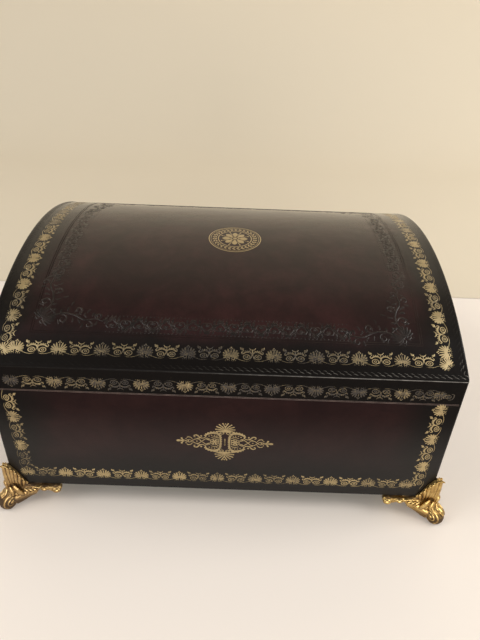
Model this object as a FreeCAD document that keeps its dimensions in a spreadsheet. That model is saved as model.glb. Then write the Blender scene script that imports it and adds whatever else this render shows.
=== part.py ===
import FreeCAD, Part
import math
import os
import re

import Sketcher

# A vaulted leather-covered casket on four cast brass corner feet, in millimetres.
# X is the width, Y the depth with the front towards -Y, and Z is up from the floor.
# The origin is under the middle of the box, on the surface that the feet stand on.

SIZES = {
    # the box as a whole
    "box_width": 330,
    "box_depth": 265,
    "base_height": 97.9,
    "foot_height": 20.5,
    "band_height": 21.4,
    "vault_rise": 33.8,
    "seam_gap": 0.3,
    "corner_round": 2,
    # leather and boards
    "leather": 1.2,
    "wall_board": 10,
    "bottom_board": 8,
    "vault_board": 7,
    "rebate_lip": 5,
    "paste_line": 0.1,
    "underside_baize": 0.8,
    # linings
    "liner": 3,
    "liner_lip": 4,
    "lip_clearance": 0.6,
    "lip_bevel": 1,
    "floor_lining": 2,
    "lid_lining": 1.5,
    "lining_clearance": 0.3,
    # hinges
    "opening_angle": 100,
    "axis_inset": 3.5,
    "hinge_length": 38,
    "hinge_from_end": 42,
    "leaf_width": 7.4,
    "leaf_thick": 1.2,
    "knuckle_radius": 2.4,
    "knuckle_gap": 0.15,
    "knuckle_clearance": 0.3,
    "pin_radius": 1,
    "pin_clearance": 0.05,
    "pin_head": 0.6,
    # hinge screws
    "hinge_screw_radius": 0.9,
    "hinge_screw_length": 8,
    "hinge_screw_head_radius": 1.6,
    "hinge_screw_head": 0.8,
    "hinge_screw_inset": 5.1,
    "hinge_screw_pitch": 12.5,
    "screw_clearance": 0.05,
    # corner feet: arms under the edges
    "arm_reach": 38.5,
    "arm_bud": 31,
    "arm_bud_drop": 9,
    "arm_end_drop": 3,
    "arm_neck": 22.5,
    "arm_neck_drop": 5.8,
    "arm_root": 17.5,
    "arm_root_drop": 12,
    "arm_proud": 2.4,
    "arm_under": 3.4,
    "tab_reach": 33,
    "tab_width": 9.5,
    "tab_thick": 2.6,
    # corner feet: shell up the corner
    "shell_reach": 13.5,
    "shell_rise": 21,
    "shell_thick": 1.8,
    "shell_edge": 1.4,
    "shell_root": 3.3,
    "shell_flare": 4.6,
    # corner feet: scrolled toe, measured along the corner's diagonal
    "toe_waist": 5.2,
    "toe_knee": 10,
    "toe_knee_drop": 8,
    "toe_tip": 14,
    "toe_heel": 2,
    "toe_half_width": 7,
    "toe_side_inset": 2.4,
    "toe_side_drop": 5,
    "eye_out": 8.4,
    "eye_drop": 13.8,
    "eye_radius": 2.2,
    "eye_ring": 4.2,
    "eye_step": 0.5,
    "sole_step": 0.6,
    # foot screws
    "foot_screw_radius": 1.1,
    "foot_screw_length": 15,
    "foot_screw_head_radius": 2.2,
    "foot_screw_head": 1.4,
    "foot_screw_along": 26,
    "foot_screw_inset": 6,
    # spare length of a cut past the face that it leaves
    "overrun": 2,
}

# Sizes that follow from the ones above, as expressions
DERIVED = {
    "half_width": "box_width / 2",
    "half_depth": "box_depth / 2",
    "seam": "foot_height + base_height",
    "lid_bottom": "foot_height + base_height + seam_gap",
    "wall": "leather + wall_board",
    "cover_radius": "(half_depth ^ 2 + vault_rise ^ 2) / (2 * vault_rise)",
    "vault_centre": "band_height + vault_rise - cover_radius",
    "vault_radius": "cover_radius - leather",
    "board_radius": "vault_radius - paste_line",
    "soffit_radius": "board_radius - vault_board",
    "hung_radius": "soffit_radius - paste_line",
    "lining_radius": "hung_radius - lid_lining",
    "inner_x": "half_width - wall",
    "inner_y": "half_depth - wall",
    "board_x": "half_width - leather",
    "board_y": "half_depth - leather",
    "tongue_y": "board_y - rebate_lip",
    "axis_y": "half_depth - axis_inset",
    "stop_slope": "tan(opening_angle / 2)",
    "stop_drop": "axis_inset * stop_slope",
    "board_stop_start": "axis_y + leather * (1 / cos(opening_angle / 2) - 1) / -stop_slope",
    "board_stop_drop": "(board_y - board_stop_start) * stop_slope",
    "relief_radius": "knuckle_radius + knuckle_clearance",
    "hinge_x": "half_width - hinge_from_end - hinge_length / 2",
    "lip_start": "liner_lip + lip_clearance",
    "foot_screw_reach": "foot_screw_length - tab_thick + screw_clearance",
}

doc = FreeCAD.newDocument("leather_casket")
sheet = doc.addObject("Spreadsheet::Sheet", "Sizes")
for row, (alias, value) in enumerate(SIZES.items(), start=1):
    sheet.set(f"A{row}", alias)
    sheet.set(f"B{row}", str(value))
    sheet.setAlias(f"B{row}", alias)
doc.recompute()

SUB_PARTS = []


def expr(text):
    """The expression with derived names written out and sheet aliases made into references."""

    def swap(match):
        word = match.group(0)
        if word in DERIVED:
            return "(" + expr(DERIVED[word]) + ")"
        return "Sizes." + word if word in SIZES else word

    return re.sub(r"[a-z][a-z_0-9]*", swap, str(text))


def size(text):
    """The number that an expression of named sizes has now."""
    return float(sheet.evalExpression(expr(text)))


def keep(piece, label):
    """Names a finished sub-part, which gives its file the same name."""
    piece.Label = label
    SUB_PARTS.append(piece)
    return piece


def place(piece, x="0", y="0", z="0", turn=None):
    """Puts a sub-part at a place given in named sizes, turned about Z by a number of degrees."""
    for axis, text in zip("xyz", (x, y, z)):
        piece.setExpression(f"Placement.Base.{axis}", expr(text))
    if turn is not None:
        piece.setExpression("Placement.Rotation.Angle", expr(turn))


def sketch_on(body, role, name, lift=None):
    """A sketch on one of the body's own origin planes, lifted along its normal."""
    sketch = body.newObject("Sketcher::SketchObject", name)
    plane = next(f for f in body.Origin.OriginFeatures if f.Role == role)
    sketch.AttachmentSupport = [(plane, "")]
    sketch.MapMode = "FlatFace"
    if lift is not None:
        sketch.setExpression("AttachmentOffset.Base.z", expr(lift))
    return sketch


def bind(sketch, kind, *where, text):
    """Adds a dimension to a sketch and ties it to an expression."""
    index = sketch.addConstraint(Sketcher.Constraint(kind, *where, size(text)))
    sketch.setExpression(f"Constraints[{index}]", expr(text))


def minor_arc(start, end, radius):
    """The arc of less than a half turn from start to end, anticlockwise for a positive radius."""
    if radius < 0:
        return minor_arc(end, start, -radius)
    chord = end - start
    left = FreeCAD.Vector(-chord.y, chord.x, 0).normalize()
    rise = math.sqrt(radius**2 - (chord.Length / 2) ** 2)
    centre = (start + end) / 2 + left * rise
    circle = Part.Circle(centre, FreeCAD.Vector(0, 0, 1), radius)
    angles = [math.atan2(p.y - centre.y, p.x - centre.x) for p in (start, end)]
    if angles[1] < angles[0]:
        angles[1] += 2 * math.pi
    return Part.ArcOfCircle(circle, *angles)


def outline(sketch, points, arcs=None):
    """A closed outline through points in named sizes; arcs gives the radius of a round edge.

    A positive radius turns the edge that starts at that point anticlockwise.
    """
    arcs = arcs or {}
    spots = [FreeCAD.Vector(size(x), size(y), 0) for x, y in points]
    count = len(points)
    first = sketch.GeometryCount
    starts = {}
    ends = {}
    for index in range(count):
        start, end = spots[index], spots[(index + 1) % count]
        edge = first + index
        if index in arcs:
            radius = size(arcs[index])
            sketch.addGeometry(minor_arc(start, end, radius), False)
            starts[index], ends[index] = ((edge, 1), (edge, 2)) if radius > 0 else ((edge, 2), (edge, 1))
        else:
            sketch.addGeometry(Part.LineSegment(start, end), False)
            starts[index], ends[index] = (edge, 1), (edge, 2)
    for index in range(count):
        after = starts[(index + 1) % count]
        sketch.addConstraint(Sketcher.Constraint("Coincident", *ends[index], *after))
    for index, (x, y) in enumerate(points):
        bind(sketch, "DistanceX", -1, 1, *starts[index], text=x)
        bind(sketch, "DistanceY", -1, 1, *starts[index], text=y)
    for index, radius in arcs.items():
        bind(sketch, "Radius", first + index, text=radius if size(radius) > 0 else f"-({radius})")


def circle(sketch, x, y, radius):
    """A circle in a sketch at a place given in named sizes."""
    spot = FreeCAD.Vector(size(x), size(y), 0)
    index = sketch.addGeometry(Part.Circle(spot, FreeCAD.Vector(0, 0, 1), size(radius)), False)
    bind(sketch, "DistanceX", -1, 1, index, 3, text=x)
    bind(sketch, "DistanceY", -1, 1, index, 3, text=y)
    bind(sketch, "Radius", index, text=radius)


def feature(body, kind, name, profile, length=None, both_ways=True, back=False):
    """A pad or pocket of a sketch, by a length in named sizes."""
    made = body.newObject(f"PartDesign::{kind}", name)
    made.Profile = profile
    made.setExpression("Length", expr(length))
    made.SideType = "Symmetric" if both_ways else "One side"
    made.Reversed = back
    return made


def prism(label, role, points, length, arcs=None):
    """A body made by padding an outline both ways from one of its origin planes."""
    body = doc.addObject("PartDesign::Body", label)
    profile = sketch_on(body, role, f"{label}_profile")
    outline(profile, points, arcs)
    feature(body, "Pad", f"{label}_pad", profile, length)
    return keep(body, label)


def slot_out(body, name, role, points, length, arcs=None, lift=None):
    """Cuts an outline out of a body, both ways from its plane, and checks that it cut."""
    doc.recompute()
    before = body.Shape.Volume
    profile = sketch_on(body, role, f"{body.Name}_{name}_profile", lift)
    outline(profile, points, arcs)
    feature(body, "Pocket", f"{body.Name}_{name}", profile, length)
    doc.recompute()
    if not body.Shape.Volume < before:
        raise ValueError(f"{name} cut nothing from {body.Label}")


def drill(body, name, spots, radius, start, end):
    """Round holes along Z at several places of a body, between two heights."""
    doc.recompute()
    before = body.Shape.Volume
    middle = f"(({start}) + ({end})) / 2"
    profile = sketch_on(body, "XY_Plane", f"{body.Name}_{name}_profile", middle)
    for x, y in spots:
        circle(profile, x, y, radius)
    feature(body, "Pocket", f"{body.Name}_{name}", profile, f"({end}) - ({start})")
    doc.recompute()
    if not body.Shape.Volume < before:
        raise ValueError(f"{name} cut nothing from {body.Label}")


def box_points(x0, x1, y0, y1):
    """The four corners of a rectangle."""
    return [(x0, y0), (x1, y0), (x1, y1), (x0, y1)]


def round_edges(body, name, radius, wanted):
    """Rounds the edges that wanted(edge) picks."""
    doc.recompute()
    tip = body.Tip
    names = [f"Edge{i}" for i, edge in enumerate(tip.Shape.Edges, start=1) if wanted(edge)]
    made = body.newObject("PartDesign::Fillet", f"{body.Name}_{name}")
    made.Base = (tip, names)
    made.setExpression("Radius", expr(radius))


def is_outer_corner(edge):
    """True for a straight upright edge at an outer corner of the box."""
    box = edge.BoundBox
    upright = box.XLength < size("pin_clearance") and box.YLength < size("pin_clearance")
    at_corner = abs(abs(box.Center.x) - size("half_width")) < size("pin_clearance")
    at_face = abs(abs(box.Center.y) - size("half_depth")) < size("pin_clearance")
    return upright and at_corner and at_face


def relieve_knuckles(body, axis_z):
    """Cuts the round room for both hinges' knuckles along the hinge line of a body."""
    doc.recompute()
    before = body.Shape.Volume
    for side, sign in (("left", "-"), ("right", "")):
        profile = sketch_on(body, "YZ_Plane", f"{body.Name}_{side}_knuckle", f"{sign}hinge_x")
        circle(profile, "axis_y", axis_z, "relief_radius")
        feature(body, "Pocket", f"{body.Name}_{side}_relief", profile,
                "hinge_length + 2 * (pin_head + knuckle_gap)")
    doc.recompute()
    if not body.Shape.Volume < before:
        raise ValueError(f"no room was cut for the knuckles in {body.Label}")


def hinge_screw_spots():
    """The places of the three screws in each of the two leaves, seen from above."""
    spots = []
    for sign in ("-", ""):
        for step in (-1, 0, 1):
            x = f"{sign}hinge_x + ({step}) * hinge_screw_pitch"
            spots.append((x, "axis_y - hinge_screw_inset"))
    return spots


def foot_screw_spots():
    """The places of the two screws in each foot, seen from above, in the box's frame."""
    spots = []
    for sx in ("-", ""):
        for sy in ("-", ""):
            spots.append((f"{sx}(half_width - foot_screw_along)", f"{sy}(half_depth - foot_screw_inset)"))
            spots.append((f"{sx}(half_width - foot_screw_inset)", f"{sy}(half_depth - foot_screw_along)"))
    return spots


FRONT_BACK_SPOTS = [spot for spot in foot_screw_spots() if "half_depth - foot_screw_inset" in spot[1]]
END_SPOTS = [spot for spot in foot_screw_spots() if "half_width - foot_screw_inset" in spot[0]]

# The base's boards: front and back run through, with rebates that take the ends.
# Every base piece is drawn in the box's own frame and lifted onto its feet by its placement.

board_top = "base_height - leather"


def rebate_ends(body, wall_y, low, high):
    """Cuts the rebates at both ends of a front or back board, on its inner side."""
    inner, outer = f"{wall_y} * inner_y", f"{wall_y} * tongue_y"
    edges = (f"{inner} - {wall_y} * overrun", outer)
    for side, sign in (("left", "-"), ("right", "")):
        points = box_points(f"{sign}inner_x", f"{sign}(board_x + overrun)", *edges)
        slot_out(body, f"{side}_rebate", "XY_Plane", points, f"{high} * 2 + 2 * overrun", lift=low)


base_front = prism(
    "base_front_board",
    "YZ_Plane",
    box_points("-board_y", "-inner_y", "leather", board_top),
    "2 * board_x",
)
rebate_ends(base_front, "-1", "0", "base_height")
drill(base_front, "foot_screw_holes", [s for s in FRONT_BACK_SPOTS if s[1].startswith("-")],
      "foot_screw_radius + screw_clearance", "0", "foot_screw_reach")
place(base_front, z="foot_height")

base_back = prism(
    "base_back_board",
    "YZ_Plane",
    [
        ("inner_y", "leather"),
        ("board_y", "leather"),
        ("board_y", f"{board_top} - board_stop_drop"),
        ("board_stop_start", board_top),
        ("inner_y", board_top),
    ],
    "2 * board_x",
)
rebate_ends(base_back, "1", "0", "base_height")
relieve_knuckles(base_back, "base_height + seam_gap / 2")
drill(base_back, "foot_screw_holes", [s for s in FRONT_BACK_SPOTS if not s[1].startswith("-")],
      "foot_screw_radius + screw_clearance", "0", "foot_screw_reach")
drill(base_back, "hinge_screw_holes", hinge_screw_spots(),
      "hinge_screw_radius + screw_clearance", "base_height - hinge_screw_length", "base_height")
place(base_back, z="foot_height")

for side, sign in (("left", "-"), ("right", "")):
    points = box_points(f"{sign}inner_x", f"{sign}board_x", "-tongue_y", "tongue_y")
    board = doc.addObject("PartDesign::Body", f"base_{side}_board")
    profile = sketch_on(board, "XY_Plane", f"base_{side}_board_profile", "leather")
    outline(profile, points)
    feature(board, "Pad", f"base_{side}_board_pad", profile, "base_height - 2 * leather", both_ways=False)
    keep(board, f"base_{side}_board")
    spots = [s for s in END_SPOTS if s[0].startswith("-") == (sign == "-")]
    drill(board, "foot_screw_holes", spots, "foot_screw_radius + screw_clearance", "0", "foot_screw_reach")
    place(board, z="foot_height")

bottom = prism(
    "base_bottom_board",
    "YZ_Plane",
    box_points("-inner_y", "inner_y", "leather", "leather + bottom_board"),
    "2 * inner_x",
)
place(bottom, z="foot_height")

# The base's leather: one covering over the four walls, turned in over the rim and underneath,
# with the stop bevel along its back edge and cut-outs for the hinge leaves.

base_leather = prism(
    "base_leather",
    "YZ_Plane",
    [
        ("-half_depth", "0"),
        ("half_depth", "0"),
        ("half_depth", "base_height - stop_drop"),
        ("axis_y", "base_height"),
        ("-half_depth", "base_height"),
    ],
    "box_width",
)
round_edges(base_leather, "corner_rounds", "corner_round", is_outer_corner)
slot_out(
    base_leather,
    "board_room",
    "YZ_Plane",
    [
        ("-board_y", "leather"),
        ("board_y", "leather"),
        ("board_y", f"{board_top} - board_stop_drop"),
        ("board_stop_start", board_top),
        ("-board_y", board_top),
    ],
    "2 * board_x",
)
slot_out(base_leather, "mouth", "XY_Plane", box_points("-inner_x", "inner_x", "-inner_y", "inner_y"),
         "base_height * 2 + overrun")
relieve_knuckles(base_leather, "base_height + seam_gap / 2")
for side, sign in (("left", "-"), ("right", "")):
    cut_half = "(hinge_length / 2 + knuckle_gap)"
    across = (f"{sign}hinge_x - {cut_half}", f"{sign}hinge_x + {cut_half}")
    slot_out(base_leather, f"{side}_leaf_cut", "XY_Plane",
             box_points(*across, "inner_y - overrun", "axis_y"), "2 * leather", lift="base_height")
drill(base_leather, "foot_screw_holes", foot_screw_spots(), "foot_screw_radius + screw_clearance",
      "-overrun", "leather + overrun")
place(base_leather, z="foot_height")

baize = prism(
    "underside_baize",
    "YZ_Plane",
    box_points("-(inner_y - lining_clearance)", "inner_y - lining_clearance",
               "leather - underside_baize", "leather"),
    "2 * (inner_x - lining_clearance)",
)
place(baize, z="foot_height")

# The liner: four thin boards that stand on the bottom board, with a lip that keys the lid

liner_foot = "leather + bottom_board"
lip_top = "base_height + liner_lip"


def liner_profile(outer, inner, side):
    """The upright section of a liner board, rebated and bevelled where its lip leaves the rim."""
    set_back = f"{outer} - {side} * lip_clearance"
    return [
        (outer, liner_foot),
        (outer, "base_height"),
        (set_back, "base_height"),
        (set_back, f"{lip_top} - lip_bevel"),
        (f"{set_back} - {side} * lip_bevel", lip_top),
        (inner, lip_top),
        (inner, liner_foot),
    ]


for label, side in (("liner_front", "-1"), ("liner_back", "1")):
    outer, inner = f"{side} * inner_y", f"{side} * (inner_y - liner)"
    body = prism(label, "YZ_Plane", liner_profile(outer, inner, side), "2 * (inner_x - lip_clearance)")
    place(body, z="foot_height")
for label, side in (("liner_left", "-1"), ("liner_right", "1")):
    outer, inner = f"{side} * inner_x", f"{side} * (inner_x - liner)"
    body = prism(label, "XZ_Plane", liner_profile(outer, inner, side), "2 * (inner_y - liner)")
    place(body, z="foot_height")

floor_cover = prism(
    "floor_lining",
    "YZ_Plane",
    box_points("-(inner_y - liner - lining_clearance)", "inner_y - liner - lining_clearance",
               liner_foot, f"{liner_foot} + floor_lining"),
    "2 * (inner_x - liner - lining_clearance)",
)
place(floor_cover, z="foot_height")

# The lid's boards: rails and arched ends under a curved vault board.
# Every lid piece is drawn from the lid's underside and lifted by its placement.


def vault_z(radius, y):
    """The height of an arc of the vault above the lid's underside, at a distance from the middle."""
    return f"vault_centre + sqrt(({radius}) ^ 2 - ({y}) ^ 2)"


def curved_sheet(label, outer_radius, inner_radius, reach, length):
    """A sheet bent to the vault, between two radii and cut upright at its front and back."""
    points = [
        (f"-{reach}", vault_z(inner_radius, reach)),
        (reach, vault_z(inner_radius, reach)),
        (reach, vault_z(outer_radius, reach)),
        (f"-{reach}", vault_z(outer_radius, reach)),
    ]
    return prism(label, "YZ_Plane", points, length, {0: f"-({inner_radius})", 2: outer_radius})


lid_top_leather = curved_sheet("lid_top_leather", "cover_radius", "vault_radius", "half_depth", "box_width")
round_edges(lid_top_leather, "corner_rounds", "corner_round", is_outer_corner)
place(lid_top_leather, z="lid_bottom")

vault = curved_sheet("lid_vault_board", "board_radius", "soffit_radius", "board_y", "2 * board_x")
place(vault, z="lid_bottom")

lid_front = prism(
    "lid_front_rail",
    "YZ_Plane",
    [
        ("-board_y", "leather"),
        ("-inner_y", "leather"),
        ("-inner_y", vault_z("soffit_radius", "inner_y")),
        ("-board_y", vault_z("soffit_radius", "board_y")),
    ],
    "2 * board_x",
    {2: "soffit_radius"},
)
rebate_ends(lid_front, "-1", "0", "band_height")
place(lid_front, z="lid_bottom")

lid_back = prism(
    "lid_back_rail",
    "YZ_Plane",
    [
        ("inner_y", "leather"),
        ("board_stop_start", "leather"),
        ("board_y", "leather + board_stop_drop"),
        ("board_y", vault_z("soffit_radius", "board_y")),
        ("inner_y", vault_z("soffit_radius", "inner_y")),
    ],
    "2 * board_x",
    {3: "soffit_radius"},
)
rebate_ends(lid_back, "1", "0", "band_height")
relieve_knuckles(lid_back, "-seam_gap / 2")
drill(lid_back, "hinge_screw_holes", hinge_screw_spots(),
      "hinge_screw_radius + screw_clearance", "0", "hinge_screw_length")
place(lid_back, z="lid_bottom")

for side, sign in (("left", "-"), ("right", "")):
    label = f"lid_{side}_end"
    body = doc.addObject("PartDesign::Body", label)
    profile = sketch_on(body, "YZ_Plane", f"{label}_profile", f"{sign}(inner_x + board_x) / 2")
    points = [
        ("-tongue_y", "leather"),
        ("tongue_y", "leather"),
        ("tongue_y", vault_z("soffit_radius", "tongue_y")),
        ("-tongue_y", vault_z("soffit_radius", "tongue_y")),
    ]
    outline(profile, points, {2: "soffit_radius"})
    feature(body, "Pad", f"{label}_pad", profile, "wall_board")
    keep(body, label)
    place(body, z="lid_bottom")

lid_side_leather = prism(
    "lid_side_leather",
    "YZ_Plane",
    [
        ("-half_depth", "0"),
        ("axis_y", "0"),
        ("half_depth", "stop_drop"),
        ("half_depth", vault_z("vault_radius", "half_depth")),
        ("-half_depth", vault_z("vault_radius", "half_depth")),
    ],
    "box_width",
    {3: "vault_radius"},
)
round_edges(lid_side_leather, "corner_rounds", "corner_round", is_outer_corner)
slot_out(
    lid_side_leather,
    "board_room",
    "YZ_Plane",
    [
        ("-board_y", "leather"),
        ("board_stop_start", "leather"),
        ("board_y", "leather + board_stop_drop"),
        ("board_y", "band_height + vault_rise"),
        ("-board_y", "band_height + vault_rise"),
    ],
    "2 * board_x",
)
slot_out(lid_side_leather, "mouth", "XY_Plane", box_points("-inner_x", "inner_x", "-inner_y", "inner_y"),
         "2 * leather + overrun")
relieve_knuckles(lid_side_leather, "-seam_gap / 2")
for side, sign in (("left", "-"), ("right", "")):
    cut_half = "(hinge_length / 2 + knuckle_gap)"
    across = (f"{sign}hinge_x - {cut_half}", f"{sign}hinge_x + {cut_half}")
    slot_out(lid_side_leather, f"{side}_leaf_cut", "XY_Plane",
             box_points(*across, "inner_y - overrun", "axis_y"), "2 * leather")
place(lid_side_leather, z="lid_bottom")

# The lid's linings: the vault's own first, then the four uprights below it

lid_lining_vault = curved_sheet("lid_lining_vault", "hung_radius", "lining_radius", "inner_y", "2 * inner_x")
place(lid_lining_vault, z="lid_bottom")
for label, side in (("lid_lining_front", "-1"), ("lid_lining_back", "1")):
    near, far = f"{side} * (inner_y - lid_lining)", f"{side} * inner_y"
    tops = {near: vault_z("lining_radius", "inner_y - lid_lining"), far: vault_z("lining_radius", "inner_y")}
    right, left = (near, far) if side == "-1" else (far, near)
    points = [(left, "lip_start"), (right, "lip_start"), (right, tops[right]), (left, tops[left])]
    body = prism(label, "YZ_Plane", points, "2 * inner_x", {2: "lining_radius"})
    place(body, z="lid_bottom")
for label, sign in (("lid_lining_left", "-"), ("lid_lining_right", "")):
    body = doc.addObject("PartDesign::Body", label)
    profile = sketch_on(body, "YZ_Plane", f"{label}_profile", f"{sign}(inner_x - lid_lining / 2)")
    reach = "(inner_y - lid_lining)"
    points = [
        (f"-{reach}", "lip_start"),
        (reach, "lip_start"),
        (reach, vault_z("lining_radius", reach)),
        (f"-{reach}", vault_z("lining_radius", reach)),
    ]
    outline(profile, points, {2: "lining_radius"})
    feature(body, "Pad", f"{label}_pad", profile, "lid_lining")
    keep(body, label)
    place(body, z="lid_bottom")

# The hinges: two butt hinges of five knuckles, drawn along X about their pins

KNUCKLES = 5


def part_box(name, x, y, z, long, wide, tall):
    """A box primitive tied to named sizes."""
    made = doc.addObject("Part::Box", name)
    for prop, text in (("Length", long), ("Width", wide), ("Height", tall)):
        made.setExpression(prop, expr(text))
    place(made, x, y, z)
    return made


def part_rod(name, x, radius, long, y="0", z="0", axis=None):
    """A cylinder primitive tied to named sizes, along X unless another axis is given."""
    made = doc.addObject("Part::Cylinder", name)
    made.setExpression("Radius", expr(radius))
    made.setExpression("Height", expr(long))
    turn = FreeCAD.Rotation(FreeCAD.Vector(0, 0, 1), axis or FreeCAD.Vector(1, 0, 0))
    made.Placement = FreeCAD.Placement(FreeCAD.Vector(0, 0, 0), turn)
    place(made, x, y, z)
    return made


def part_cone(name, x, y, z, low_radius, high_radius, tall):
    """A cone primitive tied to named sizes, upright."""
    made = doc.addObject("Part::Cone", name)
    made.setExpression("Radius1", expr(low_radius))
    made.setExpression("Radius2", expr(high_radius))
    made.setExpression("Height", expr(tall))
    place(made, x, y, z)
    return made


def join(name, kind, shapes):
    """A fuse or compound of several shapes."""
    made = doc.addObject(kind, name)
    if kind == "Part::Compound":
        made.Links = shapes
    else:
        made.Shapes = shapes
    return made


def cut(name, base, tool):
    """One shape with another taken away."""
    made = doc.addObject("Part::Cut", name)
    made.Base = base
    made.Tool = tool
    return made


def hinge_leaf(label, side_sign, is_lower):
    """One leaf: its plate, its own knuckles, the pin's bore and three countersunk screw holes."""
    pitch = f"(hinge_length / {KNUCKLES})"
    low = "-seam_gap / 2 - leaf_thick" if is_lower else "seam_gap / 2"
    plate = part_box(f"{label}_plate", "-hinge_length / 2", "-leaf_width", low,
                     "hinge_length", "leaf_width - relief_radius", "leaf_thick")
    solids = [plate]
    for index in range(0 if is_lower else 1, KNUCKLES, 2):
        start = f"-hinge_length / 2 + {index} * {pitch} + knuckle_gap"
        long = f"{pitch} - 2 * knuckle_gap"
        solids.append(part_rod(f"{label}_knuckle_{index}", start, "knuckle_radius", long))
        solids.append(part_box(f"{label}_web_{index}", start, "-relief_radius", low, long,
                               "relief_radius", "leaf_thick"))
    body = join(f"{label}_solid", "Part::MultiFuse", solids)
    tools = [part_rod(f"{label}_bore", "-hinge_length / 2 - overrun", "pin_radius + pin_clearance",
                      "hinge_length + 2 * overrun")]
    for step in (-1, 0, 1):
        x = f"({step}) * hinge_screw_pitch"
        y = "-hinge_screw_inset"
        tools.append(part_rod(f"{label}_hole_{step + 1}", x, "hinge_screw_radius + screw_clearance",
                              "leaf_thick + 2 * overrun", y, f"{low} - overrun", FreeCAD.Vector(0, 0, 1)))
        shank, head = "hinge_screw_radius + screw_clearance", "hinge_screw_head_radius + screw_clearance"
        radii = (shank, head) if is_lower else (head, shank)
        z = "-seam_gap / 2 - hinge_screw_head" if is_lower else "seam_gap / 2"
        tools.append(part_cone(f"{label}_sink_{step + 1}", x, y, z, *radii, "hinge_screw_head"))
    holes = join(f"{label}_holes", "Part::MultiFuse", tools)
    leaf = keep(cut(label, body, holes), label)
    place(leaf, f"{side_sign}hinge_x", "axis_y", "seam + seam_gap / 2")


def screw(name, x, y, z, points_up, radius, length, head_radius, head):
    """A countersunk screw, its head's face at z, pointing down into wood unless points_up."""
    if points_up:
        parts = [part_cone(f"{name}_head", x, y, z, head_radius, radius, head),
                 part_rod(f"{name}_shank", x, radius, f"{length} - {head}", y, f"{z} + {head}",
                          FreeCAD.Vector(0, 0, 1))]
    else:
        parts = [part_cone(f"{name}_head", x, y, f"{z} - {head}", radius, head_radius, head),
                 part_rod(f"{name}_shank", x, radius, f"{length} - {head}", y, f"{z} - {length}",
                          FreeCAD.Vector(0, 0, 1))]
    return join(name, "Part::MultiFuse", parts)


for side, sign in (("left", "-"), ("right", "")):
    hinge_leaf(f"{side}_hinge_lower_leaf", sign, True)
    hinge_leaf(f"{side}_hinge_upper_leaf", sign, False)
    label = f"{side}_hinge_pin"
    pin = part_rod(f"{label}_rod", "-hinge_length / 2", "pin_radius", "hinge_length")
    heads = [
        part_rod(f"{label}_head_{end}", x, "knuckle_radius - pin_clearance", "pin_head")
        for end, x in (("a", "-hinge_length / 2 - pin_head + knuckle_gap"),
                       ("b", "hinge_length / 2 - knuckle_gap"))
    ]
    pin_solid = keep(join(label, "Part::MultiFuse", [pin, *heads]), label)
    place(pin_solid, f"{sign}hinge_x", "axis_y", "seam + seam_gap / 2")

screw_sizes = ("hinge_screw_radius", "hinge_screw_length", "hinge_screw_head_radius", "hinge_screw_head")
lower_screws = []
upper_screws = []
for index, (x, y) in enumerate(hinge_screw_spots()):
    lower_screws.append(screw(f"lower_screw_{index}", x, y, "0", False, *screw_sizes))
    upper_screws.append(screw(f"upper_screw_{index}", x, y, "0", True, *screw_sizes))
place(keep(join("lower_hinge_screws", "Part::Compound", lower_screws), "lower_hinge_screws"), z="seam")
place(keep(join("upper_hinge_screws", "Part::Compound", upper_screws), "upper_hinge_screws"), z="lid_bottom")

# The corner feet: a scrolled toe, a lobed shell up the corner and two arms under the edges.
# Each is drawn with the box's corner at its origin and the box towards +X and +Y.

# radii of an arm's bud, waist, hollow and two root lobes, each by the size that it follows
BUD_ROUND_SHARE = 0.8
WAIST_ROUND_SHARE = 0.55
HOLLOW_ROUND_SHARE = 1.25
ROOT_LOBE_SHARE = 0.4
HEEL_LOBE_SHARE = 0.56
# where the two root lobes meet and end, along and down
ROOT_SHARES = [(0.66, 1.2), (0.25, 1.52)]
# the shell's scalloped edge from its tip down to the arm, along and up
SHELL_EDGE_SHARES = [(0.17, 0.81), (0.34, 0.62), (0.51, 0.44), (0.68, 0.27), (0.84, 0.12), (1, 0)]
SHELL_LOBE_SHARE = 0.62
# height, reach along the faces and flare at the corner of the shell's levels
FLARE_SHARES = [(-0.25, 0.9, 0), (0.1, 0.8, 0.05), (0.5, 0.42, 0.3), (1.03, 0.06, 1)]
# the roundness of the toe's hollow front and of its roll, by half their chords
TOE_HOLLOW_SHARE = 1.5
TOE_ROLL_SHARE = 1.2
# the toe's sections: place across, inset of the front, drop of the shoulder
TOE_SECTION_SHARES = [(-1, 1, 1), (-0.72, 0.3, 0.5), (0, 0, 0.2), (0.72, 0.3, 0.5), (1, 1, 1)]
# radius of a screw tab's end by the tab's width
TAB_ROUND_SHARE = 0.6
# degrees that turn a sketch's X axis outward along the corner's diagonal
DIAGONAL_TURN = 225


def arm_outline(sketch):
    """The front view of an arm: leafy root lobes, a waist, then a bud at its end."""
    points = [
        ("0", "0"),
        ("arm_reach", "0"),
        ("arm_reach", "-arm_end_drop"),
        ("arm_bud", "-arm_bud_drop"),
        ("arm_neck", "-arm_neck_drop"),
        ("arm_root", "-arm_root_drop"),
        *((f"arm_root * {along}", f"-arm_root_drop * {down}") for along, down in ROOT_SHARES),
        ("0", f"-arm_root_drop * {ROOT_SHARES[-1][1]}"),
    ]
    outline(sketch, points, {
        2: f"-(arm_bud_drop * {BUD_ROUND_SHARE})",
        3: f"-(arm_neck * {WAIST_ROUND_SHARE})",
        4: f"arm_neck_drop * {HOLLOW_ROUND_SHARE}",
        5: f"-(arm_root_drop * {ROOT_LOBE_SHARE})",
        6: f"-(arm_root_drop * {HEEL_LOBE_SHARE})",
    })


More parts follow.
